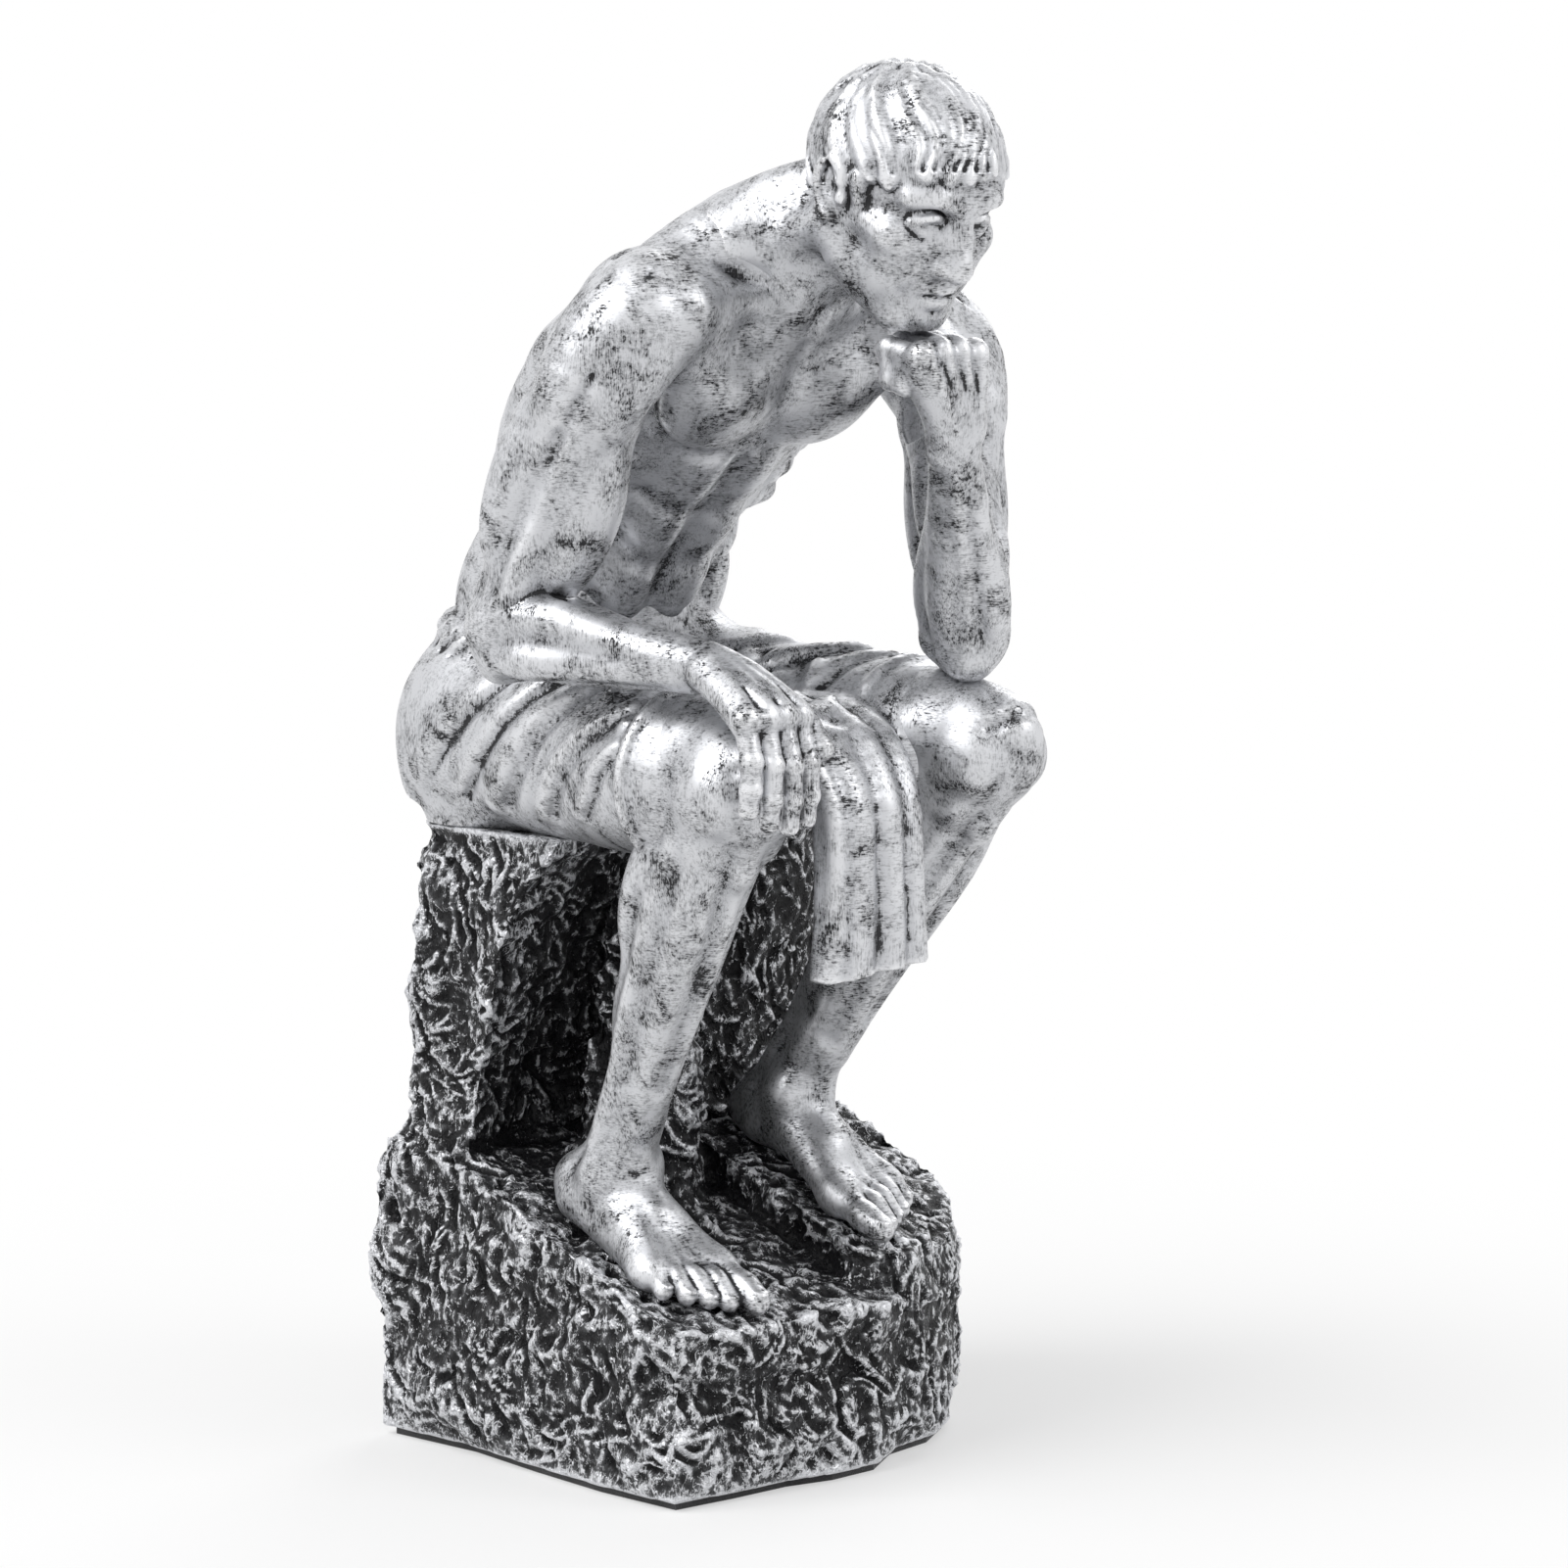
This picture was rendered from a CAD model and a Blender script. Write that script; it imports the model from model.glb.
import math

import bpy
import numpy as np
import openvdb
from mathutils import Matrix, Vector


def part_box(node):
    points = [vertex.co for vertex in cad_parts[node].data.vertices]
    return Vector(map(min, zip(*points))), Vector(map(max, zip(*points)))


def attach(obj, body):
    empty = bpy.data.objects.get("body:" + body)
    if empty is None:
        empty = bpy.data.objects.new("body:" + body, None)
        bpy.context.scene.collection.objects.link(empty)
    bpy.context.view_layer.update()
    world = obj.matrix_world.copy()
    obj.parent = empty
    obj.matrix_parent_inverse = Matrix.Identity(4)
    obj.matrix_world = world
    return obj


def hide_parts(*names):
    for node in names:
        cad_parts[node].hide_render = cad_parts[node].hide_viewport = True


# The looks of the seated figure on its rock. The body is sculpted as blended round forms in a
# volume, in millimetres, and each carved piece is meshed and scaled to metres. It looks along -Y,
# and its right side is at -X.
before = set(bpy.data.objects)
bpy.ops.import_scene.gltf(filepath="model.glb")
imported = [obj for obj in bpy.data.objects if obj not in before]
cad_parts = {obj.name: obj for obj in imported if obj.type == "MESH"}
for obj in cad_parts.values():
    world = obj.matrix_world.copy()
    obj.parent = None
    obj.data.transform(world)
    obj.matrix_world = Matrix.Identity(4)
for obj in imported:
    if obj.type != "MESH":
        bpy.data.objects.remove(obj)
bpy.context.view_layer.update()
MM = 0.001

# Voxel of each piece in mm: fine where the carving is fine
voxel = {
    "rock_base": 0.62, "lap_drape": 0.60, "torso": 0.55, "head": 0.34, "right_arm": 0.37,
    "left_arm": 0.36, "right_leg": 0.40, "left_leg": 0.40,
}

# In mm: an empty voxel's distance, the room round a block, and how far a skin laps over a seam and
# dips under its neighbour there
far = 1000.0
margin = 5.0
seam_lap = 1.5
seam_dip = 0.3


def vec(*values):
    """A point or direction in mm."""
    return np.array(values, dtype=np.float64)


def unit(vector):
    """The same direction with a length of one."""
    return vector / np.linalg.norm(vector)


def box_mm(node):
    """The lowest and highest corners of a node, in mm."""
    low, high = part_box(node)
    return np.array(low) / MM, np.array(high) / MM


# Curves: smooth paths through points chosen by hand
def smooth_path(points, steps=4):
    """Points along a smooth curve through the given rows, whose extra columns are carried along."""
    rows = np.array(points, dtype=np.float64)
    if len(rows) < 3:
        return rows
    ends = np.vstack([2 * rows[0] - rows[1], rows, 2 * rows[-1] - rows[-2]])
    out = []
    for index in range(1, len(ends) - 2):
        before, here, there, after = ends[index - 1:index + 3]
        for step in range(steps):
            t = step / steps
            out.append(
                0.5 * (2 * here + (there - before) * t + (2 * before - 5 * here + 4 * there - after) * t**2
                       + (3 * here - before - 3 * there + after) * t**3)
            )
    out.append(rows[-1])
    return np.array(out)


class Block:
    """A block of voxels that forms are added to and cut from, as signed distances in mm."""

    def __init__(self, low, high, size):
        self.size = size
        self.low = np.array(low, dtype=np.float64) - margin
        count = np.ceil((np.array(high) + margin - self.low) / size).astype(int) + 1
        self.axes = [
            (self.low[axis] + size * np.arange(count[axis])).astype(np.float32) for axis in range(3)
        ]
        self.field = np.full(count, far, dtype=np.float32)

    def part(self, low, high):
        """The slices of the block inside a box, with their coordinates, or None."""
        slices = []
        for axis in range(3):
            first = max(int((low[axis] - self.low[axis]) / self.size), 0)
            last = min(int((high[axis] - self.low[axis]) / self.size) + 2, self.field.shape[axis])
            if last - first < 2:
                return None
            slices.append(slice(first, last))
        x, y, z = (self.axes[axis][slices[axis]] for axis in range(3))
        return tuple(slices), x[:, None, None], y[None, :, None], z[None, None, :]


def offset(x, y, z, point, way):
    """How far places lie from a point along a direction."""
    return (x - point[0]) * way[0] + (y - point[1]) * way[1] + (z - point[2]) * way[2]


def gap_from(x, y, z, point):
    """How far places lie from a point."""
    return np.sqrt((x - point[0]) ** 2 + (y - point[1]) ** 2 + (z - point[2]) ** 2)


def blend_union(a, b, soft):
    """The smaller of two distances, rounded where they meet."""
    if soft <= 0:
        return np.minimum(a, b)
    h = np.maximum(soft - np.abs(a - b), 0) / soft
    return np.minimum(a, b) - h * h * soft * 0.25


def blend_cut(a, b, soft):
    """The first distance with the second form cut out of it, rounded where they meet."""
    return -blend_union(-a, b, soft)


class Form:
    """One form: a distance over a box, and what it does to the block."""

    def __init__(self, low, high, distance, action="add", soft=0.0, size=0.0, width=0.0):
        self.low, self.high = np.array(low), np.array(high)
        self.distance, self.action, self.soft = distance, action, soft
        self.size, self.width = size, width

    def apply(self, block):
        reach = self.soft + margin if self.action in ("add", "cut") else 0.0
        found = block.part(self.low - reach, self.high + reach)
        if found is None:
            return
        slices, x, y, z = found
        field = block.field[slices]
        if self.action == "seam":
            block.field[slices] = self.distance(x, y, z, field)
            return
        distance = self.distance(x, y, z)
        if self.action == "add":
            block.field[slices] = blend_union(field, distance, self.soft)
        elif self.action == "cut":
            block.field[slices] = blend_cut(field, distance, self.soft)
        elif self.action in ("keep", "cutaway"):
            block.field[slices] = np.maximum(field, distance)
        else:
            block.field[slices] = field - self.size * np.exp(-((distance / self.width) ** 2))


def ellipsoid(centre, radii, axes=None, action="add", soft=3.0):
    """An ellipsoid whose axes are the rows of a matrix."""
    axes = np.eye(3) if axes is None else np.array(axes)
    radii = np.array(radii, dtype=np.float64)
    reach = np.sqrt(((axes * radii[:, None]) ** 2).sum(axis=0))

    def distance(x, y, z):
        near = 0.0
        steep = 0.0
        for axis, radius in zip(axes, radii):
            along = offset(x, y, z, centre, axis)
            near = near + (along / radius) ** 2
            steep = steep + (along / radius**2) ** 2
        near = np.sqrt(near)
        return near * (near - 1) / np.maximum(np.sqrt(steep), 1e-4)

    return Form(centre - reach, centre + reach, distance, action, soft)


def segment_distances(rows, factor, x, y, z):
    """The distance to a chain of tapering round rods, each flattened along its own direction."""
    best = None
    for start, end in zip(rows[:-1], rows[1:]):
        a, b = start[:3], end[:3]
        ab = b - a
        px, py, pz = x - a[0], y - a[1], z - a[2]
        if factor < 1:
            flat = unit(start[4:7] + end[4:7])
            stretch = 1 / factor - 1
            lean = (px * flat[0] + py * flat[1] + pz * flat[2]) * stretch
            px, py, pz = px + lean * flat[0], py + lean * flat[1], pz + lean * flat[2]
            ab = ab + flat * (ab.dot(flat) * stretch)
        t = np.clip((px * ab[0] + py * ab[1] + pz * ab[2]) / max(ab.dot(ab), 1e-9), 0, 1)
        gap = np.sqrt((px - t * ab[0]) ** 2 + (py - t * ab[1]) ** 2 + (pz - t * ab[2]) ** 2)
        gap = gap - (start[3] + (end[3] - start[3]) * t)
        best = gap if best is None else np.minimum(best, gap)
    return best


def limb(points, action="add", soft=3.0, flat=None, factor=1.0, steps=4):
    """A round tapering form through points with a radius. It is thinner by a factor along flat,
    which is one direction or one for each point."""
    if flat is None:
        flat = vec(0, 0, 1)
    flats = flat if isinstance(flat, list) else [flat] * len(points)
    rows = smooth_path(
        [np.concatenate([point, [radius], unit(way)]) for (point, radius), way in zip(points, flats)], steps
    )
    radius = rows[:, 3].max()

    def distance(x, y, z):
        return segment_distances(rows, factor, x, y, z) * factor

    return Form(rows[:, :3].min(axis=0) - radius, rows[:, :3].max(axis=0) + radius, distance, action, soft)


def stroke(points, width, height, steps=4):
    """A ridge along a smooth path, or a groove where the height is negative."""
    rows = smooth_path([np.append(point, 0.0) for point in points], steps)
    reach = 2.2 * width

    def distance(x, y, z):
        return segment_distances(rows, 1.0, x, y, z)

    return Form(
        rows[:, :3].min(axis=0) - reach, rows[:, :3].max(axis=0) + reach, distance, "stroke",
        size=height, width=width,
    )


class Placed:
    """Makes forms from places in a body part's own coordinates. A side of -1 mirrors the first."""

    def __init__(self, point, axes, side=1):
        self.point, self.axes, self.side = point, axes, side

    def at(self, first, second, third):
        return self.point(self.side * first, second, third)

    def rod(self, soft, *rows):
        """A tapering rod through rows of a place and a radius."""
        return limb([(self.at(*row[:3]), row[3]) for row in rows], soft=soft)

    def ball(self, soft, place, radii, action="add"):
        """An ellipsoid along the part's axes."""
        return ellipsoid(self.at(*place), radii, self.axes, action, soft)

    def line(self, width, height, *places):
        """A ridge or a groove through places."""
        return stroke([self.at(*place) for place in places], width, height)


def half_space(point, normal, within=None, action="keep"):
    """Keeps what lies behind a plane, or, within a ball, cuts away what lies before it."""
    normal = unit(normal)
    centre, radius = within if within is not None else (point, far)

    def distance(x, y, z):
        flat = offset(x, y, z, point, normal)
        if within is None:
            return flat
        return np.minimum(flat, -(gap_from(x, y, z, centre) - radius))

    return Form(centre - radius, centre + radius, distance, action, 0.0)


def seam(point, normal, within=None):
    """Ends a piece a little past a plane that it shares with its neighbour, dipping under it."""
    normal = unit(normal)
    centre, radius = within if within is not None else (point, far)

    def distance(x, y, z, field):
        past = offset(x, y, z, point, normal)
        ball = gap_from(x, y, z, centre)
        near = np.clip((radius - ball) / seam_lap, 0, 1)
        sunk = field + near * seam_dip * np.clip(past / seam_lap, 0, 1)
        return np.where(ball < radius, np.maximum(sunk, past - seam_lap), sunk)

    return Form(centre - radius, centre + radius, distance, "seam", 0.0)


class Solid:
    """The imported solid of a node, as a form that others are added to."""

    def __init__(self, node):
        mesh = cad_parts[node].data
        mesh.calc_loop_triangles()
        place = np.empty(len(mesh.vertices) * 3, dtype=np.float32)
        mesh.vertices.foreach_get("co", place)
        corners = np.empty(len(mesh.loop_triangles) * 3, dtype=np.int32)
        mesh.loop_triangles.foreach_get("vertices", corners)
        self.points = place.reshape(-1, 3) / MM
        self.triangles = corners.reshape(-1, 3).astype(np.uint32)

    def apply(self, block):
        places = ((self.points - block.low) / block.size).astype(np.float32)
        grid = openvdb.FloatGrid.createLevelSetFromPolygons(
            places, triangles=self.triangles, halfWidth=margin / block.size
        )
        field = np.zeros(block.field.shape, dtype=np.float32)
        grid.copyToArray(field)
        block.field = np.minimum(block.field, field * block.size)


def largest_piece(points, quads):
    """Drops loose crumbs and keeps the largest connected skin."""
    label = np.arange(len(points))
    for _ in range(2000):
        lowest = label[quads].min(axis=1)
        after = label.copy()
        np.minimum.at(after, quads.ravel(), np.repeat(lowest, 4))
        after = after[after]
        if np.array_equal(after, label):
            break
        label = after
    names, counts = np.unique(label, return_counts=True)
    keep = label == names[np.argmax(counts)]
    place = np.cumsum(keep) - 1
    kept = quads[keep[quads[:, 0]]]
    return points[keep], place[kept]


def carve(node, groups):
    """Carves groups of forms in a node's box, joins them, and returns the block and its largest
    skin as points and quads in mm."""
    size = voxel[node] * 1.0
    block = Block(*box_mm(node), size)
    joined = np.full_like(block.field, far)
    for forms in groups:
        block.field[:] = far
        for form in forms:
            form.apply(block)
        joined = np.minimum(joined, block.field)
    block.field = joined
    block.field[[0, -1], :, :] = margin
    block.field[:, [0, -1], :] = margin
    block.field[:, :, [0, -1]] = margin
    grid = openvdb.FloatGrid(margin)
    grid.copyFromArray(np.clip(block.field, -margin, margin))
    points, quads = grid.convertToQuads(isovalue=0.0)
    points, quads = largest_piece(points.astype(np.float64) * size + block.low, quads.astype(np.int64))
    return block, points, quads


def neighbour_mean(values, quads, count):
    """The mean of each point's neighbours along the quads' edges."""
    total = np.zeros_like(values)
    for shift in (1, 3):
        other = np.roll(quads, shift, axis=1)
        for column in range(4):
            for axis in range(values.shape[1]):
                total[:, axis] += np.bincount(
                    quads[:, column], weights=values[other[:, column], axis], minlength=len(values)
                )
    return total / count[:, None]


def point_normals(points, quads):
    """The unit normal at each point."""
    corner = points[quads]
    face = np.cross(corner[:, 2] - corner[:, 0], corner[:, 3] - corner[:, 1])
    normal = np.zeros_like(points)
    for column in range(4):
        for axis in range(3):
            normal[:, axis] += np.bincount(quads[:, column], weights=face[:, axis], minlength=len(points))
    return normal / np.maximum(np.linalg.norm(normal, axis=1), 1e-9)[:, None]


def hollowness(points, quads, size, reach):
    """How far each point lies below (positive) or above its smoothed surroundings, in mm."""
    count = np.bincount(quads.ravel(), minlength=len(points)) * 2.0
    normal = point_normals(points, quads)
    smooth = points
    for _ in range(max(1, int((reach / size) ** 2 * 0.5))):
        smooth = smooth * 0.4 + neighbour_mean(smooth, quads, count) * 0.6
    return ((smooth - points) * normal).sum(axis=1)


def add_mesh(name, node, points, quads, values, material):
    """Makes the mesh object of a carved piece, in metres, in place of its node."""
    mesh = bpy.data.meshes.new(name)
    mesh.vertices.add(len(points))
    mesh.vertices.foreach_set("co", (points * MM).astype(np.float32).ravel())
    mesh.loops.add(len(quads) * 4)
    mesh.loops.foreach_set("vertex_index", quads.astype(np.int32).ravel())
    mesh.polygons.add(len(quads))
    mesh.polygons.foreach_set("loop_start", np.arange(0, len(quads) * 4, 4, dtype=np.int32))
    mesh.polygons.foreach_set("loop_total", np.full(len(quads), 4, dtype=np.int32))
    mesh.update(calc_edges=True)
    mesh.validate()
    mesh.shade_smooth()
    for key, value in values.items():
        layer = mesh.attributes.new(key, "FLOAT", "POINT")
        layer.data.foreach_set("value", value.astype(np.float32))
    mesh.materials.append(material)
    piece = bpy.data.objects.new(name, mesh)
    bpy.context.scene.collection.objects.link(piece)
    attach(piece, "root")
    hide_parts(node)
    return piece


# The pose, in mm. A side of -1 is the figure's right and 1 its left.
middle_x = -12.0
ankle_rise = 12.5
RIGHT, LEFT = -1, 1
side_of = {"right": RIGHT, "left": LEFT}
waist = vec(middle_x, 23, 151)
neck = vec(middle_x, -37, 222)
spine_dir = unit(neck - waist)
chest_dir = unit(np.cross(vec(-1, 0, 0), spine_dir)) * -1
hip = {"right": vec(-29, 28, 133), "left": vec(5, 28, 133)}
knee = {"right": vec(-40, -50, 129), "left": vec(17, -52, 132)}
sole = {"right": vec(-35, -9, 45), "left": vec(12, -5, 53)}
shoulder = {"right": vec(-41, -31, 211), "left": vec(17, -31, 208)}
arm_top = {"right": vec(-50, -27.5, 203), "left": vec(26, -34, 200)}
elbow = {"right": vec(-56, -8, 155), "left": vec(17, -49, 152.5)}
wrist = {"right": vec(-45, -50, 150), "left": vec(-2, -65, 189)}
sole_slope = math.radians(20)
sole_up = vec(0, -math.sin(sole_slope), math.cos(sole_slope))
sole_ahead = vec(0, -math.cos(sole_slope), -math.sin(sole_slope))
ankle = {side: point + sole_up * ankle_rise for side, point in sole.items()}
head_centre = vec(-9, -60, 232)
head_pitch = math.radians(25)
head_up = vec(0, -math.sin(head_pitch), math.cos(head_pitch))
head_front = vec(0, -math.cos(head_pitch), -math.sin(head_pitch))
to_left = vec(1, 0, 0)
chin_rest = 208.0
back_bow = 8.0


def leaning(degrees):
    """The upright direction, leant forward."""
    return unit(vec(0, -math.sin(math.radians(degrees)), math.cos(math.radians(degrees))))


neck_normal = leaning(52)
waist_normal = leaning(12)


def trunk(x, up, ahead):
    """A point of the trunk: to the left, up the spine from the waist and towards the chest."""
    share = np.clip(up / np.linalg.norm(neck - waist), 0, 1)
    bow = back_bow * math.sin(math.pi * share**0.63)
    return waist + to_left * x + spine_dir * up + chest_dir * (ahead - bow)


def skull(x, ahead, up):
    """A point of the head: to the left, forward and up from its middle."""
    return head_centre + to_left * x + head_front * ahead + head_up * up


trunk_axes = [to_left, spine_dir, chest_dir]
head_axes = [to_left, head_front, head_up]


def trunk_forms():
    """The back, ribs, chest and belly."""
    rows = ((-6, 0, 25.5), (10, 0, 25.0), (28, 0, 25.5), (46, 0.5, 27.0), (64, 0, 27.5), (76, -0.5, 24.5),
            (86, -1, 17.0))
    forms = [
        limb([(trunk(0, up, ahead), radius) for up, ahead, radius in rows],
             flat=chest_dir, factor=0.62, soft=0)
    ]
    middle = Placed(trunk, trunk_axes)
    for s in (RIGHT, LEFT):
        side = Placed(trunk, trunk_axes, s)
        forms += [
            # lat, from the waist up to the armpit
            side.rod(6, (13, 14, -9, 5), (20, 36, -8, 7.5), (25, 56, -5, 8.5), (29, 72, -2, 7)),
            # shoulder blade and the muscle below it
            side.ball(4, (15.5, 65, -13), (9.0, 12, 6.5)),
            side.ball(5, (20.5, 56, -9.0), (8, 7, 6.5)),
            # spine muscles
            side.rod(4, (6, -6, -13.5, 6), (6.5, 18, -13, 6), (6, 42, -12, 5), (5, 70, -10, 4)),
            # trapezius
            side.rod(4, (4, 99, -2, 6.6), (10, 90, -5, 8.6), (20, 84, -4, 7.5), (28, 82, -1, 6.5)),
            side.rod(5, (5, 88, -9, 7), (8, 72, -12, 6), (4, 48, -14, 3.5)),
            # collar bone
            side.rod(3, (3, 85, 8, 2.2), (14, 87, 7.5, 2.2), (25, 86, 4, 2.6)),
            # chest muscle, up to the arm
            side.ball(3.5, (12, 67, 13), (13, 12, 7.5)),
            side.rod(4, (14, 70, 14, 6), (23, 75, 10, 6), (31, 77, 4, 5.5)),
            # side of the waist
            side.ball(5, (19, 8, 1), (8, 14, 11)),
            # belly columns
            side.rod(4, (6, 54, 14, 5), (6.2, 34, 13.5, 5.5), (6, 10, 12.5, 6), (5, -6, 12, 6)),
        ]
        # ribs and the toothed muscle over them
        for index in range(5):
            up = 31 + 6.5 * index
            rib = [(21, up + 3, -11), (26.5, up - 1, -3), (26.5, up - 5, 5), (20, up - 9, 12.5)]
            gap = [(22, up, -10.5), (26.5, up - 4, -3), (26.5, up - 8, 5), (20, up - 12, 12)]
            forms += [side.line(2.1, 0.9, *rib), side.line(1.6, -0.5, *gap)]
        for index in range(4):
            up = 36 + 7 * index
            forms.append(side.ball(2.6, (23.8, up - 2, 6.0), (3.6, 3.2, 4.4)))
        forms += [
            # border of the shoulder blade
            side.line(2.2, 0.9, (7.5, 52, -16), (8, 62, -17), (10, 74, -15)),
            side.line(2.4, 0.8, (10, 76, -15), (19, 80, -10), (27, 82, -5)),
            side.line(2.8, -0.5, (9, 50, -15), (17, 50, -13), (24, 60, -9)),
            # between neck and collar bone
            side.line(2.6, -1.4, (6, 90, 6), (14, 91, 4), (21, 88, 2)),
            # below the chest muscle
            side.line(2.0, -1.5, (3, 57, 19), (12, 54.5, 18), (21, 60, 14), (26, 69, 9)),
            # between chest and deltoid
            side.line(1.6, -1.1, (25, 84, 9), (27, 76, 10), (28, 70, 8)),
        ]
    forms += [
        middle.line(3.4, -2.0, (0, -6, -20), (0, 20, -20), (0, 50, -19), (0, 78, -16)),
        middle.line(1.8, -1.6, (0, 80, 14), (0, 66, 20), (0, 55, 20)),
        middle.line(2.4, -1.1, (0, 52, 19), (0, 25, 18), (0, -4, 17)),
        # folds across the bent belly
        middle.line(2.7, -1.5, (-22, 20, 5), (-11, 14, 16), (0, 12, 18), (11, 14, 16), (22, 20, 5)),
        middle.line(2.7, -1.3, (-21, 32, 6), (-10, 27, 17), (0, 26, 19), (10, 27, 17), (21, 32, 6)),
        middle.line(2.5, -1.0, (-17, 43, 10), (-8, 40, 18), (0, 39, 19), (8, 40, 18), (17, 43, 10)),
    ]
    for index in range(7):
        forms.append(middle.ball(1.8, (0, 58 + 5.2 * index, -15.5 + index * 0.9), (1.7, 1.9, 1.6)))
    return forms


def neck_forms():
    """The neck, shared by the torso and the head."""
    forms = [limb([(trunk(0, 80, -2), 13), (neck, 10.8), (skull(0, -6, -4), 10.2)], soft=5)]
    for s in (RIGHT, LEFT):
        side, head = Placed(trunk, trunk_axes, s), Placed(skull, head_axes, s)
        forms += [
            limb([(head.at(12.0, -4.5, -7), 3.2), (side.at(8, 97, 4), 3.2), (side.at(3, 87, 9), 2.4)],
                 soft=3),
            limb([(head.at(5, -14, -4), 4), (side.at(6, 100, -6), 4.5), (side.at(8, 92, -8), 5)],
                 soft=3.5),
        ]
    middle = Placed(trunk, trunk_axes)
    forms += [
        middle.ball(3, (0, 97, 8.5), (3, 3.5, 2.6)),
        middle.line(1.8, -1.6, (0, 87.5, 11), (0, 84, 13)),
    ]
    return forms


def shoulder_forms(side):
    """The deltoid and the top of the arm, shared by the torso and the arm."""
    s = side_of[side]
    joint, top, low = shoulder[side], arm_top[side], elbow[side]
    along = low - top
    out = to_left * s
    ahead = vec(0, -1, 0)
    return [
        limb([(joint - out * 5, 9.5), (joint + out * 4 - vec(0, 0, 1), 10.5), (top, 10.6),
              (top + along * 0.22, 9.2), (top + along * 0.42, 7.2)], soft=4.5),
        # the three heads of the deltoid, with shallow furrows between them
        limb([(joint - out + ahead * 6 + vec(0, 0, 1), 5.8), (top + along * 0.12 + ahead * 6.6, 5.8),
              (top + along * 0.42 + out * 3 + ahead * 1.0, 3.2)], soft=2.2),
        limb([(joint - out - ahead * 7, 5.8), (top + along * 0.12 - ahead * 7.4, 5.8),
              (top + along * 0.42 + out * 3 - ahead * 0.6, 3.2)], soft=2.2),
        limb([(joint + out * 4 + vec(0, 0, 4), 6.2), (top + along * 0.08 + out * 4.4, 6.8),
              (top + along * 0.26 + out * 4.4, 5.6), (top + along * 0.46 + out * 4.4, 3.0)], soft=2.2),
        stroke([joint + out * 5 + ahead * 6 + vec(0, 0, 9), top + along * 0.1 + out * 8 + ahead * 6.5,
                top + along * 0.36 + out * 7 + ahead * 3.0], 1.3, -0.9),
        stroke([joint + out * 5 - ahead * 6 + vec(0, 0, 9), top + along * 0.1 + out * 8 - ahead * 6.5,
                top + along * 0.36 + out * 7 - ahead * 3.0], 1.3, -0.9),
    ]


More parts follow.
